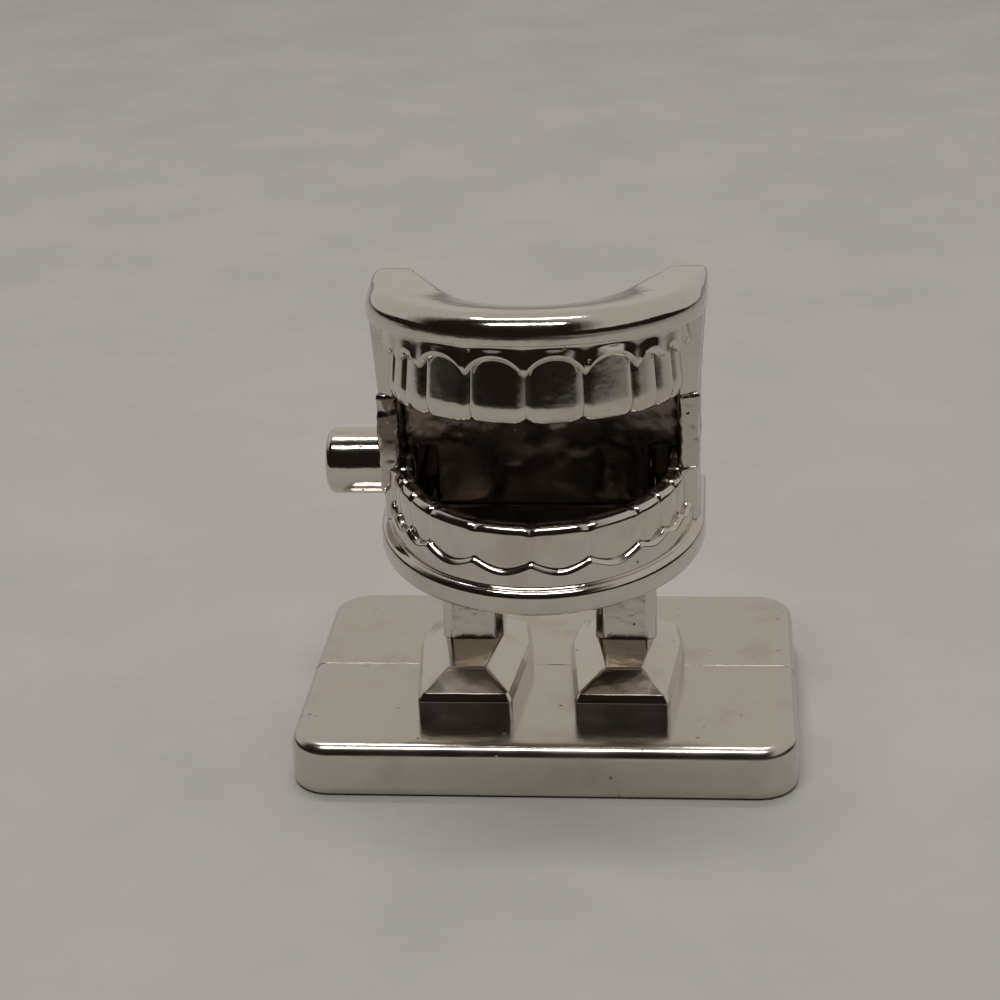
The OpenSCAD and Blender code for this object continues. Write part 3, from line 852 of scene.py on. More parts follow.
def tooth_object(name: str, face: Sequence[Point2], back: Sequence[Point2], bulge: float, groove: float,
                 rim: float, notch: float) -> bpy.types.Object:
    """Makes one tooth of width 1, which faces +Y, with its face at Y 0.

    Args:
        name: The object's name.
        face: Outline (y, z) of the tooth's front, from the root to the tip.
        back: Outline (y, z) of the tooth's back, from the tip to the root.
        bulge: How far the face bulges in the middle.
        groove: How far the face's side edges are drawn in.
        rim: Share of the half width over which they are drawn in.
        notch: How far the tip's corners are drawn towards the root.

    Returns:
        The tooth, whose X is still to be multiplied by its width.
    """
    steps, back_share, corner_share, tip_h = 26, 0.90, 0.38, 1.1
    outline = list(face) + list(back)
    tip = max(abs(z) for _, z in outline)
    sign = 1 if max(z for _, z in outline) > 0 else -1
    depth = -min(y for y, _ in outline)
    points = []
    for i in range(steps + 1):
        x = -0.5 + i / steps
        side = abs(2 * x)
        drawn = bulge * side * side + groove * max(0.0, (side - 1 + rim) / rim) ** 2
        drop = sign * notch * max(0.0, (side - 1 + corner_share) / corner_share) ** 2
        for k, (y, z) in enumerate(outline):
            high = smooth_step(tip - tip_h, tip, abs(z))
            wide = 1 + (back_share - 1) * min(1.0, max(0.0, -y / depth))
            points.append((x * wide, y - drawn if k < len(face) else y, z - drop * high))
    count = len(outline)
    faces = [list(range(count)), list(reversed([steps * count + k for k in range(count)]))]
    for i in range(steps):
        for k in range(count):
            a, b = i * count + k, i * count + (k + 1) % count
            faces.append([b, a, a + count, b + count])
    thing = object_from(name, points, faces)
    finish_mesh(thing.data)
    return thing


@dataclass
class Jaw:
    """What is made in the same way for each jaw: its place, its casting and its row of teeth."""

    jaws: Jaws
    lift: float
    tilt: float

    def where(self) -> Matrix:
        """The jaw's place on the token."""
        turn = Matrix.Rotation(math.radians(self.tilt), 4, "X")
        return Matrix.Translation((FIGURE_X * MM, 0, self.lift * MM)) @ turn

    def inputs(self, shop: Workshop) -> dict[str, object]:
        """The inputs that put a tree's result in the jaw's place and dress it."""
        return {"Tilt": math.radians(self.tilt), "Lift": self.lift * MM, "Shift": FIGURE_X * MM,
                "Material": shop.materials[Finish.figure_plating]}

    def carry(self, band: GeometryTree, outline: Sequence[Point3], path: bpy.types.Object,
              inputs: dict[str, object]) -> None:
        """Carries an outline along a path.

        Args:
            band: The tree that does it.
            outline: Radius, height and lip weight of each point.
            path: The path, whose mesh becomes the band.
            inputs: The tree's other inputs.
        """
        shape = self.jaws.outline_object(f"{path.name} outline", outline)
        band.run(path, {"Outline": shape, **inputs})
        bpy.data.objects.remove(shape)

    def cast(self, shop: Workshop, node: str, placed: Sequence[bpy.types.Object],
             loose: Sequence[bpy.types.Object]) -> None:
        """Joins the parts of the jaw's casting and dresses it.

        Args:
            shop: The workshop.
            node: The node that the casting stands for.
            placed: Parts that are in the jaw's place on the token.
            loose: Parts that are still to be put there.
        """
        for part in loose:
            part.data.transform(self.where())
        jaw = join(f"{node}_casting", [*placed, *loose])
        finish_mesh(jaw.data)
        weigh_normals(jaw)
        shop.dress(jaw, Finish.figure_plating, node)

    def set_teeth(self, shop: Workshop, row: GeometryTree, node: str, tooth: bpy.types.Object) -> None:
        """Sets the jaw's row of teeth.

        Args:
            shop: The workshop.
            row: The tree that does it.
            node: The node that the row stands for.
            tooth: One tooth of width 1, which is removed afterwards.
        """
        seats = self.jaws.seats(f"{node}_row")
        row.run(seats, {"Tooth": tooth, **self.inputs(shop)})
        finish_mesh(seats.data)
        shop.dress(seats, Finish.figure_plating, node)
        bpy.data.objects.remove(tooth)


@dataclass
class LowerJaw(Jaw):
    """The lower jaw with its teeth. Heights are counted from the jaw's underside."""

    lift: float = 10.35
    tilt: float = 6.0
    rim_r: float = 0.18
    flange_h: float = 0.85
    shoulder_r: float = 0.42
    root_r: float = 0.10
    margin_h: float = 2.55
    dip_share: float = 0.15
    dip_soft: float = 0.25
    lip: float = 0.22
    seat_h: float = 1.35
    collar_h: float = 2.3
    collar_edge_r: float = 0.25
    floor_t: float = 1.2
    floor_in_r: float = 5.0
    floor_r: float = 5.3
    corner_r: float = 0.25
    teeth_h: float = 4.3
    teeth_root: float = 0.4
    teeth_edge_r: float = 0.45
    teeth_back_r: float = 0.3

    def outline(self) -> list[Point3]:
        """The jaw's outline, from the underside over the gum's lip to the mouth's floor.

        Returns:
            Radius, height and lip weight of each point.
        """
        j = self.jaws
        outer = [(self.floor_in_r, 0.0)] + arc((j.flange_r - self.rim_r, self.rim_r), self.rim_r, -90, 0, 4)
        outer += arc((j.flange_r - self.shoulder_r, self.flange_h), self.shoulder_r, 0, 80, 8)
        root = self.flange_h + self.shoulder_r + self.root_r
        outer += arc((j.gum_r + self.root_r, root), self.root_r, 250, 180, 3)
        low, high = root + 0.02, self.margin_h - self.lip
        gum = [(j.gum_r, low + (high - low) * share, share) for share in (0.25, 0.5, 0.75)]
        lip = [(j.gum_r, high), (j.gum_r - 0.02, high + 0.05)]
        lip += [(j.gum_r - self.lip + 0.04, self.margin_h - 0.01), (j.gum_r - self.lip - 0.01, self.margin_h)]
        lip += [(j.tooth_r - 0.08, self.margin_h - 0.02)]
        inner = [(j.tooth_r - 0.12, self.seat_h), (j.collar_r, self.seat_h)]
        inner += arc((j.collar_r - j.edge_r, self.collar_h - j.edge_r), j.edge_r, 0, 90, 3)
        edge_r = self.collar_edge_r
        inner += arc((j.collar_in_r + edge_r, self.collar_h - edge_r), edge_r, 90, 180, 4)
        inner += arc((j.collar_in_r - j.edge_r, self.floor_t + j.edge_r), j.edge_r, 360, 270, 3)
        inner += [(self.floor_in_r, self.floor_t)]
        return weighted(outer, 0.0) + gum + weighted(lip, 1.0) + weighted(inner, 0.0)

    def tooth(self) -> bpy.types.Object:
        """One tooth of the row.

        Returns:
            The tooth, of width 1.
        """
        thick, low = self.jaws.tooth_t, self.seat_h - self.teeth_root
        edge, back_r = self.teeth_edge_r, self.teeth_back_r
        face = [(0.0, low), (0.0, 2.2), (0.0, 3.0)] + arc((-edge, self.teeth_h - edge), edge, 0, 90, 8)
        back = arc((-thick + back_r, self.teeth_h - back_r), back_r, 90, 180, 6)
        back += [(-thick, 3.0), (-thick, low)]
        return tooth_object("lower tooth", face, back, bulge=0.10, groove=0.05, rim=0.20, notch=0.12)

    def build(self, shop: Workshop, band: GeometryTree, row: GeometryTree) -> None:
        """Builds the jaw and its teeth.

        Args:
            shop: The workshop.
            band: The tree that carries an outline along a path.
            row: The tree that sets teeth on seats.
        """
        j = self.jaws
        gum = j.path_object("lower gum", self.dip_share, self.dip_soft, -1)
        self.carry(band, self.outline(), gum, self.inputs(shop))
        extras = [j.slab("mouth floor", self.floor_r, 0.0, self.floor_t)]
        levels = ((self.floor_t / 2, j.cheek_half_w), (self.teeth_h, j.cheek_half_w))
        across = (j.collar_in_r - 0.02, j.cheek_half_w - 0.03)
        for side in (-1, 1):
            extras.append(j.heel("lower heel", side, across, (self.flange_h, self.teeth_h + 0.02)))
            extras.append(j.flank("lower flank", side, levels, self.corner_r))
        self.cast(shop, "lower_jaw", [gum], extras)
        self.set_teeth(shop, row, "lower_teeth", self.tooth())


@dataclass
class UpperJaw(Jaw):
    """The upper jaw with its teeth. Depths are counted down from the crown's top."""

    lift: float = 23.65
    tilt: float = -6.0
    extra: float = 0.13
    shoulder_r: float = 0.95
    crown_r: float = 14.0
    crown_front: float = 4.15
    crown_edge_r: float = 0.12
    inner_r: float = 4.8
    flange_d: float = 1.4
    groove_d: float = 1.6
    gum_lean: float = 0.15
    margin_d: float = 3.0
    arch_share: float = 0.26
    lip_h: float = 0.29
    lip_w: float = 0.19
    seat_d: float = 1.6
    hollow_d: float = 1.0
    hollow_in_r: float = 5.22
    hollow_fall: float = 0.8
    palate_d: float = 2.6
    palate_t: float = 0.8
    palate_r: float = 4.7
    palate_in_r: float = 4.4
    palate_drop: float = 0.45
    hollow_edge_r: float = 0.2
    collar_d: float = 3.6
    collar_end_d: float = 1.95
    teeth_d: float = 5.35
    teeth_edge_r: float = 0.3
    belly_h: float = 0.75
    flare: float = 0.28
    flank_lean: float = 0.3
    flank_d: float = 1.15
    corner_r: float = 0.9
    end_r: float = 1.0
    end_depth: float = 0.55
    end_fall: float = 0.22
    round_r: float = 0.95
    square_share: float = 0.72

    def rim_r(self) -> float:
        """Radius of the flange."""
        return self.jaws.flange_r + self.extra

    def top_r(self) -> float:
        """Radius at which the crown turns down into the flange's side."""
        return self.rim_r() - self.shoulder_r

    def outline(self) -> list[Point3]:
        """The jaw's outline, from the palate over the crown and the gum's lip back to the palate.

        Returns:
            Radius, height and lip weight of each point.
        """
        j, top = self.jaws, self.top_r()
        edge_r = self.hollow_edge_r
        turn = math.degrees(math.asin((top - self.inner_r) / self.crown_r))
        crown = arc((top, -self.crown_r), self.crown_r, 90 + turn, 90, 16)
        made = [(self.palate_in_r, -self.palate_d), (self.inner_r - edge_r, -self.palate_d)]
        made += arc((self.inner_r - edge_r, -self.palate_d + edge_r), edge_r, 270, 360, 3)
        made += [(self.inner_r, -self.hollow_d - 0.04), (self.inner_r, -self.hollow_d + 0.04)]
        edge_r = self.crown_edge_r
        made += arc((crown[0][0] + edge_r, crown[0][1] - edge_r - 0.02), edge_r, 180, 120, 3) + crown[2:]
        made += arc((top, -self.shoulder_r), self.shoulder_r, 84, 0, 14)
        made += arc((self.rim_r() - j.edge_r, -self.flange_d + j.edge_r), j.edge_r, 0, -90, 4)
        gum_top, tip = j.gum_r - self.gum_lean, -self.margin_d
        made += [(gum_top + 0.12, -self.flange_d - 0.03), (gum_top + 0.02, -self.groove_d + 0.06)]
        high, low = -self.groove_d - 0.05, tip + self.lip_h
        gum = [(gum_top + self.gum_lean * share, high + (low - high) * share, share)
               for share in (0.05, 0.3, 0.55, 0.8)]
        lip = [(j.gum_r, low), (j.gum_r - 0.02, low - 0.05)]
        lip += [(j.gum_r - self.lip_w + 0.02, tip + 0.03), (j.gum_r - self.lip_w - 0.02, tip)]
        lip += [(j.tooth_r - 0.08, tip + 0.04)]
        under = [(j.tooth_r - self.flare - 0.2, -self.seat_d), (j.collar_r, -self.seat_d)]
        under += arc((j.collar_r - j.edge_r, -self.collar_d + j.edge_r), j.edge_r, 0, -90, 3)
        edge_r = self.hollow_edge_r
        under += arc((j.collar_in_r + edge_r, -self.collar_d + edge_r), edge_r, 270, 180, 4)
        bottom = -self.palate_d - self.palate_t
        under += [(j.collar_in_r, bottom), (self.palate_in_r, bottom)]
        return weighted(made, 0.0) + gum + weighted(lip, 1.0) + weighted(under, 0.0)

    def inner_edge(self, turn: float, back: float) -> float:
        """Distance of the crown's inner edge, which is a parabola in plan, from the middle.

        Args:
            turn: Angle in front of the side axis, in radians; 0 on the arms.
            back: Distance along the arm.

        Returns:
            The distance.
        """
        end_x = self.rim_r() - 2 * self.end_r
        end_y = self.jaws.arm - self.end_r
        curve = (end_y + self.crown_front) / end_x ** 2
        if back > 0:
            return min(end_x, math.sqrt((back + self.crown_front) / curve))
        across = max(1e-6, curve * math.cos(turn) ** 2)
        along = math.sin(turn)
        return (math.sqrt(along * along + 4 * self.crown_front * across) - along) / (2 * across)

    def crown_height(self, radius: float) -> float:
        """Height of the crown's dome at a distance from the middle."""
        return math.sqrt(self.crown_r ** 2 - (self.top_r() - radius) ** 2) - self.crown_r

    def shape_crown(self, radius: float, y: float, z: float, edge: float) -> Point2:
        """Fits a point to the crown's inner edge, and squares the arms' outer edges towards the rear.

        Args:
            radius: The point's distance from the middle.
            y: Its place along the arm.
            z: Its height.
            edge: Distance of the inner edge from the middle.

        Returns:
            The point's new distance and height.
        """
        rim, top = self.rim_r(), self.top_r()
        if self.inner_r - 0.5 < radius < top and z > -self.hollow_d:
            moved = top - (top - radius) * (top - edge) / (top - self.inner_r)
            if z > -self.hollow_d + 0.1:
                z += self.crown_height(moved) - self.crown_height(radius)
            radius = moved
        elif self.inner_r - 0.5 < radius < self.inner_r + 0.2 and z > -self.palate_d - 0.05:
            radius += min(max(edge, self.inner_r), self.hollow_in_r) - self.inner_r
        if abs(z + self.hollow_d) < 0.06:
            z -= self.hollow_fall * smooth_step(0.5, 2.8, y)
        elif z > -self.shoulder_r - 0.02 and radius > top:
            part = 1 - self.square_share * smooth_step(-1.0, 2.4, y)
            radius = rim - (rim - radius) * part
            z *= part
        return radius, z

    def round_end(self, wide: float, y: float, z: float) -> Point2:
        """Rounds the end of an arm in plan, and lowers its top a little.

        Args:
            wide: The point's distance from the token's middle plane.
            y: Its place along the arm.
            z: Its height.

        Returns:
            The point's new distance and height.
        """
        start = self.jaws.arm - self.round_r
        if y <= start or z <= -self.flange_d - self.end_depth:
            return wide, z
        late = min(1.0, (y - start) / self.round_r)
        drawn = self.round_r * (1 - math.sqrt(1 - late * late))
        middle = self.rim_r() - self.end_r
        if wide > middle:
            wide = max(middle, wide - drawn)
        elif z > -self.hollow_d:
            wide = min(middle, wide + drawn)
        return wide, z - self.end_fall * drawn * smooth_step(-0.9, -0.1, z)

    def shape(self, mesh: bpy.types.Mesh) -> None:
        """Shapes the crown's inner edge and the arms' ends.

        Args:
            mesh: The band's mesh, before it is tilted and lifted.
        """
        for vertex in mesh.vertices:
            x, y, z = (c / MM for c in vertex.co)
            turn = math.atan2(max(0.0, -y), abs(x))
            edge = self.inner_edge(turn, max(0.0, y))
            radius, z = self.shape_crown(math.hypot(x, min(y, 0.0)), y, z, edge)
            if y < 0:
                y = -radius * math.sin(turn)
            wide, z = self.round_end(radius * math.cos(turn), y, z)
            vertex.co = (math.copysign(wide, x) * MM, y * MM, z * MM)

    def tooth(self) -> bpy.types.Object:
        """One tooth of the row.

        Returns:
            The tooth, of width 1.
        """
        thick, edge, tip = self.jaws.tooth_t, self.teeth_edge_r, -self.teeth_d
        face = [(-self.flare, -self.seat_d), (-0.2, -2.4), (-0.1, -3.5), (-0.02, -4.3)]
        face += [(0.0, tip + self.belly_h), (-0.03, tip + 0.5), (-0.10, tip + 0.27)]
        face += [(-0.22, tip + 0.08), (-0.42, tip)]
        back = arc((-thick + edge, tip + edge), edge, 270, 180, 5) + [(-thick, -4.0), (-thick, -self.seat_d)]
        return tooth_object("upper tooth", face, back, bulge=0.15, groove=0.21, rim=0.38, notch=0.18)

    def build(self, shop: Workshop, band: GeometryTree, row: GeometryTree) -> None:
        """Builds the jaw and its teeth.

        Args:
            shop: The workshop.
            band: The tree that carries an outline along a path.
            row: The tree that sets teeth on seats.
        """
        j = self.jaws
        gum = j.path_object("upper gum", self.arch_share, 0.0, 1)
        self.carry(band, self.outline(), gum, {**self.inputs(shop), "Tilt": 0.0, "Lift": 0.0, "Shift": 0.0})
        self.shape(gum.data)
        palate = (self.palate_r, -self.palate_d - self.palate_t, -self.palate_d, self.palate_drop)
        extras = [j.slab("palate", *palate)]
        wide = j.cheek_half_w + self.flank_lean
        levels = ((-self.teeth_d, j.cheek_half_w), (-self.flange_d, wide), (-self.flank_d, wide))
        heel = ((j.collar_r - 0.02, j.cheek_half_w - 0.05), (-self.teeth_d - 0.02, -self.flange_d + 0.25))
        collar_end = ((j.collar_in_r - 0.02, j.collar_r + 0.1), (-self.collar_d - 0.02, -self.collar_end_d))
        for side in (-1, 1):
            extras.append(j.heel("upper heel", side, *heel))
            extras.append(j.heel("collar end", side, *collar_end))
            extras.append(j.flank("upper flank", side, levels, self.corner_r))
        self.cast(shop, "upper_jaw", [], [gum] + extras)
        self.set_teeth(shop, row, "upper_teeth", self.tooth())


@dataclass
class BasePlate:
    """The rounded base plate."""

    width: float = 25.0
    depth: float = 17.7
    height: float = 2.75
    corner_r: float = 2.0
    top_r: float = 0.65
    bottom_r: float = 0.3
    wall_levels: Point2 = (1.0, 1.6)
    flat_inset: float = 1.0
    seam_y: float = 0.1
    seam_r: float = 0.022
    seam_wander: float = 0.09
    seam_patch: float = 1.2
    seam_start: int = 3

    def ring(self, inset: float, z: float, corner_steps: int = 14, side_steps: int = 10) -> list[Point3]:
        """A rounded rectangle at one height.

        Args:
            inset: How far it is drawn in.
            z: Its height.
            corner_steps: How many pieces a corner is divided into.
            side_steps: The same for a side.

        Returns:
            The ring's points.
        """
        half = (self.width / 2 - inset, self.depth / 2 - inset)
        radius = self.corner_r - inset
        made: list[Point3] = []
        for k, (sx, sy) in enumerate(((1, 1), (-1, 1), (-1, -1), (1, -1))):
            centre = (sx * (half[0] - radius), sy * (half[1] - radius))
            corner = [(x, y, z) for x, y in arc(centre, radius, 90 * k, 90 * k + 90, corner_steps)]
            if made:
                made += self.between(made[-1], corner[0], side_steps)
            made += corner
        return made + self.between(made[-1], made[0], side_steps)

    @staticmethod
    def between(first: Point3, last: Point3, steps: int) -> list[Point3]:
        """Points between two points, without them."""
        return [tuple(a + (b - a) * i / steps for a, b in zip(first, last)) for i in range(1, steps)]

    def profile(self) -> list[Point2]:
        """The plate's side, from the underside to the top.

        Returns:
            Inset and height of each point.
        """
        made = arc((self.bottom_r, self.bottom_r), self.bottom_r, -90, -180, 6)
        made += [(0.0, z) for z in self.wall_levels]
        made += arc((self.top_r, self.height - self.top_r), self.top_r, 180, 90, 10)
        return made + [(self.flat_inset, self.height)]

    def build(self, shop: Workshop, seam: GeometryTree) -> None:
        """Builds the plate and the parting line that the mould left over it.

        Args:
            shop: The workshop.
            seam: The tree that makes a parting line along a path.
        """
        plate = stacked_rings("base_plate_casting", [self.ring(inset, z) for inset, z in self.profile()])
        finish_mesh(plate.data)
        shop.dress(plate, Finish.base_plating, "base_plate")
        side = self.profile()[self.seam_start:]
        right = [(self.width / 2 - inset, self.seam_y, z) for inset, z in side]
        path = right + [(-x, y, z) for x, y, z in reversed(right)]
        line = object_from("base_parting_line", path, [], [(i, i + 1) for i in range(len(path) - 1)])
        seam.run(line, {"Thickness": self.seam_r * MM, "Unevenness": self.seam_wander * MM,
                        "Grain": 1 / (self.seam_patch * MM), "Material": shop.materials[Finish.base_plating]})
        finish_mesh(line.data)
        shop.dress(line, Finish.base_plating)


@dataclass
class Foot:
    """One shoe with the leg that stands in it."""

    side: int
    base_t: float = 2.75
    spacing: float = 7.8
    toe_w: float = 4.7
    mid_w: float = 5.85
    heel_w: float = 5.2
    toe_reach: float = 6.0
    heel_reach: float = 2.6
    wall_h: float = 1.0
    break_h: float = 1.38
    break_inset: float = 0.2
    instep_h: float = 2.2
    instep_reach: float = 4.6
    instep_w: float = 2.0
    leg_w: float = 3.1
    leg_d: float = 2.5
    leg_reach: float = 1.2
    leg_chamfer: float = 0.45
    leg_top: float = 10.9
    leg_draft: float = 1.25
    draft_share: float = 0.25
    leg_sink: float = 0.5
    sole_sink: float = 0.2
    shoe_edge_r: float = 0.20
    shoe_soft_r: float = 0.05
    leg_edge_r: float = 0.1

    def build(self, shop: Workshop) -> None:
        """Builds the shoe and the leg.

        Args:
            shop: The workshop.
        """
        name = "left" if self.side < 0 else "right"
        x = self.side * self.spacing / 2
        shoe = stacked_rings(f"{name}_shoe_casting", self.shoe_rings(x))
        round_edges(shoe, self.shoe_edge_r, segments=5, angle=33)
        round_edges(shoe, self.shoe_soft_r, segments=2, angle=14)
        leg = stacked_rings(f"{name}_leg_casting", self.leg_rings(x))
        round_edges(leg, self.leg_edge_r)
        for casting, node in ((shoe, f"{name}_shoe"), (leg, f"{name}_leg")):
            finish_mesh(casting.data)
            weigh_normals(casting)
            shop.dress(casting, Finish.figure_plating, node)

    def plan(self, inset: float) -> list[Point2]:
        """The shoe's outline seen from above.

        Args:
            inset: How far it is drawn in.

        Returns:
            The outline's corners.
        """
        toe, middle, heel = (width / 2 - inset for width in (self.toe_w, self.mid_w, self.heel_w))
        front, rear = -self.toe_reach + inset, self.heel_reach - inset
        return [(-toe, front), (toe, front), (middle, 0.0), (heel, rear), (-heel, rear), (-middle, 0.0)]

    def shoe_rings(self, x: float) -> list[list[Point3]]:
        """The shoe's rings from the sole to the instep.

        Args:
            x: Where the shoe's middle is.

        Returns:
            The rings.
        """
        toe, half = self.instep_w / 2, self.leg_w / 2
        front, rear = -self.leg_reach, self.leg_d - self.leg_reach
        top = [(-toe, -self.instep_reach), (toe, -self.instep_reach),
               (half, front), (half, rear), (-half, rear), (-half, front)]
        levels = [(self.plan(0.0), -self.sole_sink), (self.plan(0.0), self.wall_h),
                  (self.plan(self.break_inset), self.break_h), (top, self.instep_h)]
        return [[(x + px, py, self.base_t + z) for px, py in plan] for plan, z in levels]

    def leg_rings(self, x: float) -> list[list[Point3]]:
        """The leg's rings from the shoe to the jaw.

        Args:
            x: Where the leg's middle is.

        Returns:
            The rings, of which the lower one stands further forward.
        """
        w, c = self.leg_w / 2, self.leg_chamfer
        f, b = -self.leg_reach, self.leg_d - self.leg_reach
        plan = [(-w + c, f), (w - c, f), (w, f + c), (w, b - c)]
        plan += [(-px, f + b - py) for px, py in plan]
        low = self.base_t + self.instep_h - self.leg_sink
        rings = []
        foot, head = self.leg_draft * self.draft_share, -self.leg_draft * (1 - self.draft_share)
        for z, forward in ((low, foot), (self.leg_top, head)):
            rings.append([(x + px, py - forward if py < 0 else py, z) for px, py in plan])
        return rings


@dataclass
class WindingStem:
    """The round stem on the left side."""

    start: float = -8.1
    height: float = 14.25
    radius: float = 1.65
    length: float = 2.8
    rounding: float = 0.4
    sink: float = 0.15

    def build(self, shop: Workshop) -> None:
        """Builds the stem.

        Args:
            shop: The workshop.
        """
        centre = (-self.length + self.rounding, self.radius - self.rounding)
        outline = [(self.sink, self.radius)] + arc(centre, self.rounding, 90, 180, 6)
        rings = [self.circle(along, radius) for along, radius in outline]
        stem = stacked_rings("winding_stem_casting", rings)
        finish_mesh(stem.data)
        shop.dress(stem, Finish.figure_plating, "winding_stem")

    def circle(self, along: float, radius: float, steps: int = 72) -> list[Point3]:
        """A ring of the stem.

        Args:
            along: Distance of the ring from the stem's start, towards the right.
            radius: The ring's radius.
            steps: How many pieces it is divided into.

        Returns:
            The ring's points.
        """
        x, angles = self.start + along, [2 * math.pi * i / steps for i in range(steps)]
        return [(x, radius * math.cos(a), self.height + radius * math.sin(a)) for a in angles]


@dataclass
class MechanismCase:
    """The web of metal that carries the upper jaw behind the mouth."""

    grain: float = 0.13
    softness: float = 0.5
    soft_rounds: int = 4
    unevenness: float = 0.11
    calm_share: float = 0.25
    rough_from: float = 6.2
    rough_to: float = 7.0
    merge_below: float = 1e-6

    def build(self, shop: Workshop) -> None:
        """Builds the web from a merged copy of its node, with the soft edges of a rough casting.

        Args:
            shop: The workshop.
        """
        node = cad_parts["mechanism_case"]
        case = bpy.data.objects.new("mechanism_case_casting", node.data.copy())
        bpy.context.scene.collection.objects.link(case)
        merge_doubles(case.data, self.merge_below)
        grid = case.modifiers.new("even grid", "REMESH")
        grid.mode = "VOXEL"
        grid.voxel_size = self.grain * MM
        soft = case.modifiers.new("soft edges", "SMOOTH")
        soft.factor = self.softness
        soft.iterations = self.soft_rounds
        apply_modifiers(case)
        moved = []
        for vertex in case.data.vertices:
            moved.extend(vertex.co + vertex.normal * self.lump(vertex.co / MM) * self.unevenness * MM)
        case.data.vertices.foreach_set("co", moved)
        finish_mesh(case.data)
        shop.dress(case, Finish.mouth_plating, "mechanism_case")

    def lump(self, place: Vector) -> float:
        """How far the casting bulges at a place, which is more on the cheeks than in the mouth.

        Args:
            place: The place in millimetres.

        Returns:
            The bulge as a share of the unevenness, negative where the casting is drawn in.
        """
        rough = smooth_step(self.rough_from, self.rough_to, abs(place.x - FIGURE_X))
        lump = noise.noise(place * 1.1) + 0.5 * noise.noise(place * 2.7)
        return lump * (self.calm_share + (1 - self.calm_share) * rough)


# The stage


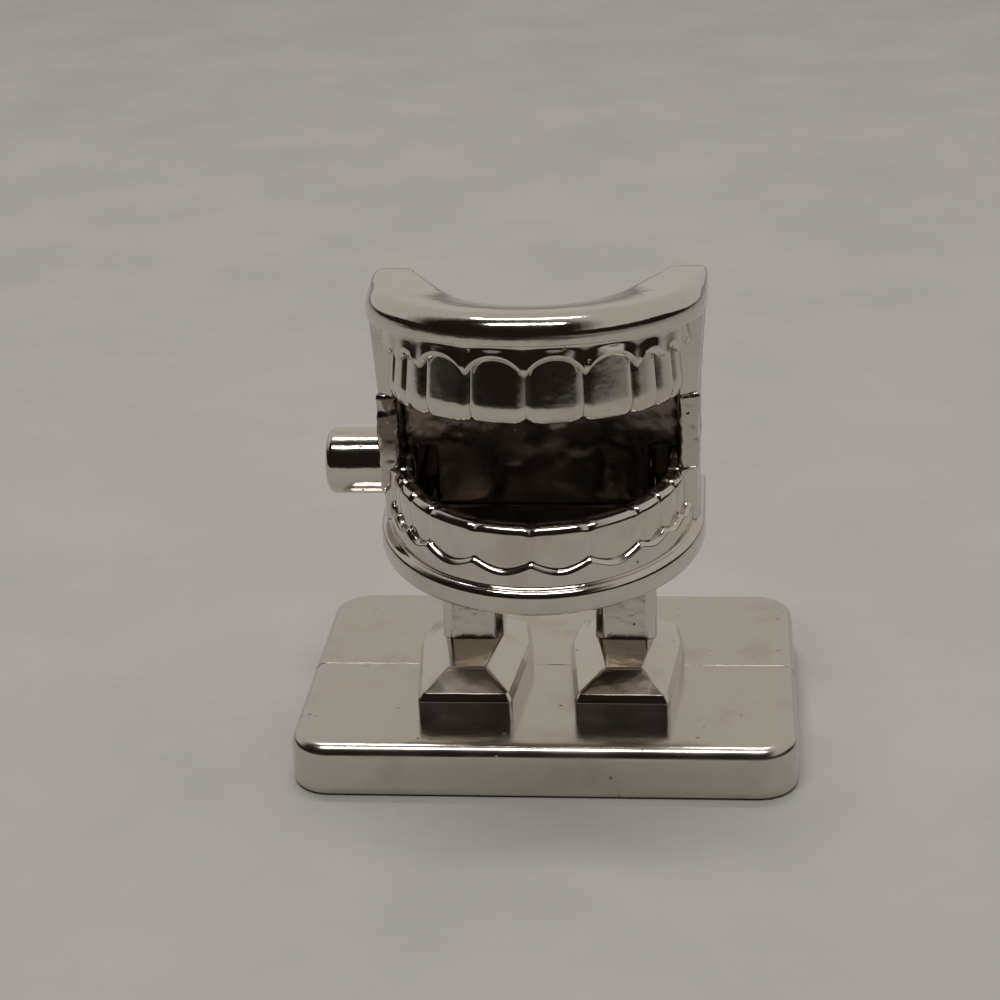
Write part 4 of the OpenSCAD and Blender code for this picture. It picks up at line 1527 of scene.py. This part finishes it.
@dataclass
class Stage:
    """The floor, the light and the camera."""

    floor_half_w: float = 2500
    floor_colour: Point3 = (0.458, 0.450, 0.436)
    dark_room: Point3 = (0.014, 0.010, 0.008)
    pale_room: Point3 = (0.48, 0.455, 0.42)
    dark_way: Point3 = (-0.35, -0.75, 0.55)
    dark_angles: Point2 = (46.0, 70.0)
    table_reach: Point2 = (115.0, 175.0)
    behind_reach: Point2 = (-30.0, 60.0)
    right_reach: Point2 = (70.0, 170.0)
    right_share: float = 0.7
    rim_height: float = 0.34
    lamp_colour: Point3 = (1.0, 0.965, 0.92)
    camera_place: Point3 = (8.9957, -106.007, 57.477)
    camera_turn: float = -6.1177
    camera_down: float = 23.0661
    camera_roll: float = -2.4106
    lens: float = 82.8
    sensor_width: float = 36.0
    clip_range: Point2 = (0.005, 20.0)

    def build(self) -> None:
        """Builds the stage."""
        self.make_floor()
        self.make_world()
        self.make_lamp("key lamp", height=70, side=-3.0, distance=520, size=(330, 60), level=0.38)
        self.make_lamp("top lamp", height=104, side=-4.0, distance=560, size=(330, 50), level=0.24)
        self.make_camera()

    def make_floor(self) -> None:
        """Makes a wide pale floor. Reflections see it fade in front, where the room is dark."""
        half = self.floor_half_w
        corners = [(-half, -half, 0), (half, -half, 0), (half, half, 0), (-half, half, 0)]
        floor = object_from("floor", corners, [(0, 1, 2, 3)])
        material = bpy.data.materials.new("floor")
        material.use_nodes = True
        g = Graph(material.node_tree)
        place = g.add("ShaderNodeTexCoord", output="Object")
        cloud = g.noise(place, size=14, detail=4, roughness=0.6)
        fine = g.noise(place, size=1.6, detail=4, roughness=0.65)
        darker, lighter = (tuple(c * share for c in self.floor_colour) for share in (0.96, 1.05))
        tone = g.blend(cloud.above(0.3, 0.7), darker, lighter)
        x, y, _ = g.parts(place)
        distance = g.add("ShaderNodeVectorMath", {"operation": "LENGTH"}, {0: place}, output="Value")
        reflected = g.add("ShaderNodeLightPath", output="Is Glossy Ray")
        beyond = distance.above(*(reach * MM for reach in self.table_reach))
        behind = y.above(*(reach * MM for reach in self.behind_reach))
        aside = x.above(*(reach * MM for reach in self.right_reach)) * self.right_share
        in_front = (1 - behind) * (1 - aside)
        tone = g.blend(reflected * beyond * in_front, tone, self.dark_room)
        relief = fine * 0.3 + cloud * 0.8
        bump = g.add("ShaderNodeBump", {}, {"Height": relief, "Strength": 0.35, "Distance": MM})
        shader = g.add("ShaderNodeBsdfPrincipled", {}, {
            "Base Color": tone, "Roughness": 0.85, "Normal": bump})
        g.add("ShaderNodeOutputMaterial", {}, {"Surface": shader})
        floor.data.materials.append(material)

    def make_world(self) -> None:
        """Makes a pale room that is dark in front of the token, and more so to its left."""
        world = bpy.data.worlds.new("room")
        world.use_nodes = True
        bpy.context.scene.world = world
        g = Graph(world.node_tree)
        heading = g.add("ShaderNodeTexCoord", output="Generated")
        toward = g.add("ShaderNodeVectorMath", {"operation": "DOT_PRODUCT"},
                       {0: heading, 1: Vector(self.dark_way).normalized()}, output="Value")
        inner, outer = (math.cos(math.radians(a)) for a in self.dark_angles)
        dark = toward.above(outer, inner)
        _, depth, height = g.parts(heading)
        rim = (1 - depth.above(0.0, 0.9)) * self.rim_height
        low = (rim - height).above(-0.02, 0.03)
        room = g.blend(dark, self.pale_room, self.dark_room)
        room = g.blend(low, room, self.dark_room)
        seen = g.add("ShaderNodeLightPath", output="Is Camera Ray")
        colour = g.blend(seen, room, self.floor_colour)
        light = g.add("ShaderNodeBackground", {}, {"Color": colour, "Strength": 1.0})
        g.add("ShaderNodeOutputWorld", {}, {"Surface": light})

    def make_lamp(self, name: str, height: float, side: float, distance: float, size: Point2,
                  level: float) -> None:
        """Adds a flat lamp that faces the token.

        Args:
            name: The lamp's name.
            height: Angle from the front horizon over the top, in degrees.
            side: Angle towards the right, in degrees.
            distance: Distance from the token in millimetres.
            size: Width and height of the lamp in millimetres.
            level: What a white surface that faces it would return.
        """
        a, b = math.radians(height), math.radians(side)
        way = Vector((math.sin(b), -math.cos(a) * math.cos(b), math.sin(a) * math.cos(b)))
        data = bpy.data.lights.new(name, "AREA")
        data.shape = "RECTANGLE"
        data.size, data.size_y = (v * MM for v in size)
        data.energy = level * math.pi * math.pi * (distance * MM) ** 2
        data.color = self.lamp_colour
        lamp = bpy.data.objects.new(name, data)
        lamp.location = way * distance * MM
        lamp.rotation_mode = "QUATERNION"
        across = Vector((1.0, 0.0, 0.0)) - way * way.x
        across.normalize()
        lamp.rotation_quaternion = Matrix((across, way.cross(across), way)).transposed().to_quaternion()
        bpy.context.scene.collection.objects.link(lamp)

    def make_camera(self) -> None:
        """Sets the camera where the photograph was taken from."""
        psi, theta = math.radians(self.camera_turn), math.radians(self.camera_down)
        rho = math.radians(self.camera_roll)
        ahead = Vector((math.sin(psi) * math.cos(theta), math.cos(psi) * math.cos(theta), -math.sin(theta)))
        right = Vector((math.cos(psi), -math.sin(psi), 0.0))
        up = right.cross(ahead)
        tilted_right = right * math.cos(rho) + up * math.sin(rho)
        tilted_up = -right * math.sin(rho) + up * math.cos(rho)
        turn = Matrix((tilted_right, tilted_up, -ahead)).transposed()
        data = bpy.data.cameras.new("camera")
        data.lens = self.lens
        data.sensor_width = self.sensor_width
        data.clip_start, data.clip_end = self.clip_range
        camera = bpy.data.objects.new("camera", data)
        camera.matrix_world = Matrix.Translation(Vector(self.camera_place) * MM) @ turn.to_4x4()
        bpy.context.scene.collection.objects.link(camera)
        bpy.context.scene.camera = camera


def main() -> None:
    """Builds the token and its stage."""
    logging.basicConfig(level=logging.INFO, format="%(message)s")
    bpy.context.scene.view_settings.view_transform = "Standard"
    shop = Workshop()
    jaws = Jaws()
    band, row, seam = band_tree(), row_tree(), seam_tree()
    BasePlate().build(shop, seam)
    for side in (-1, 1):
        Foot(side).build(shop)
    LowerJaw(jaws).build(shop, band, row)
    UpperJaw(jaws).build(shop, band, row)
    MechanismCase().build(shop)
    WindingStem().build(shop)
    Stage().build()


if __name__ == "__main__":
    main()
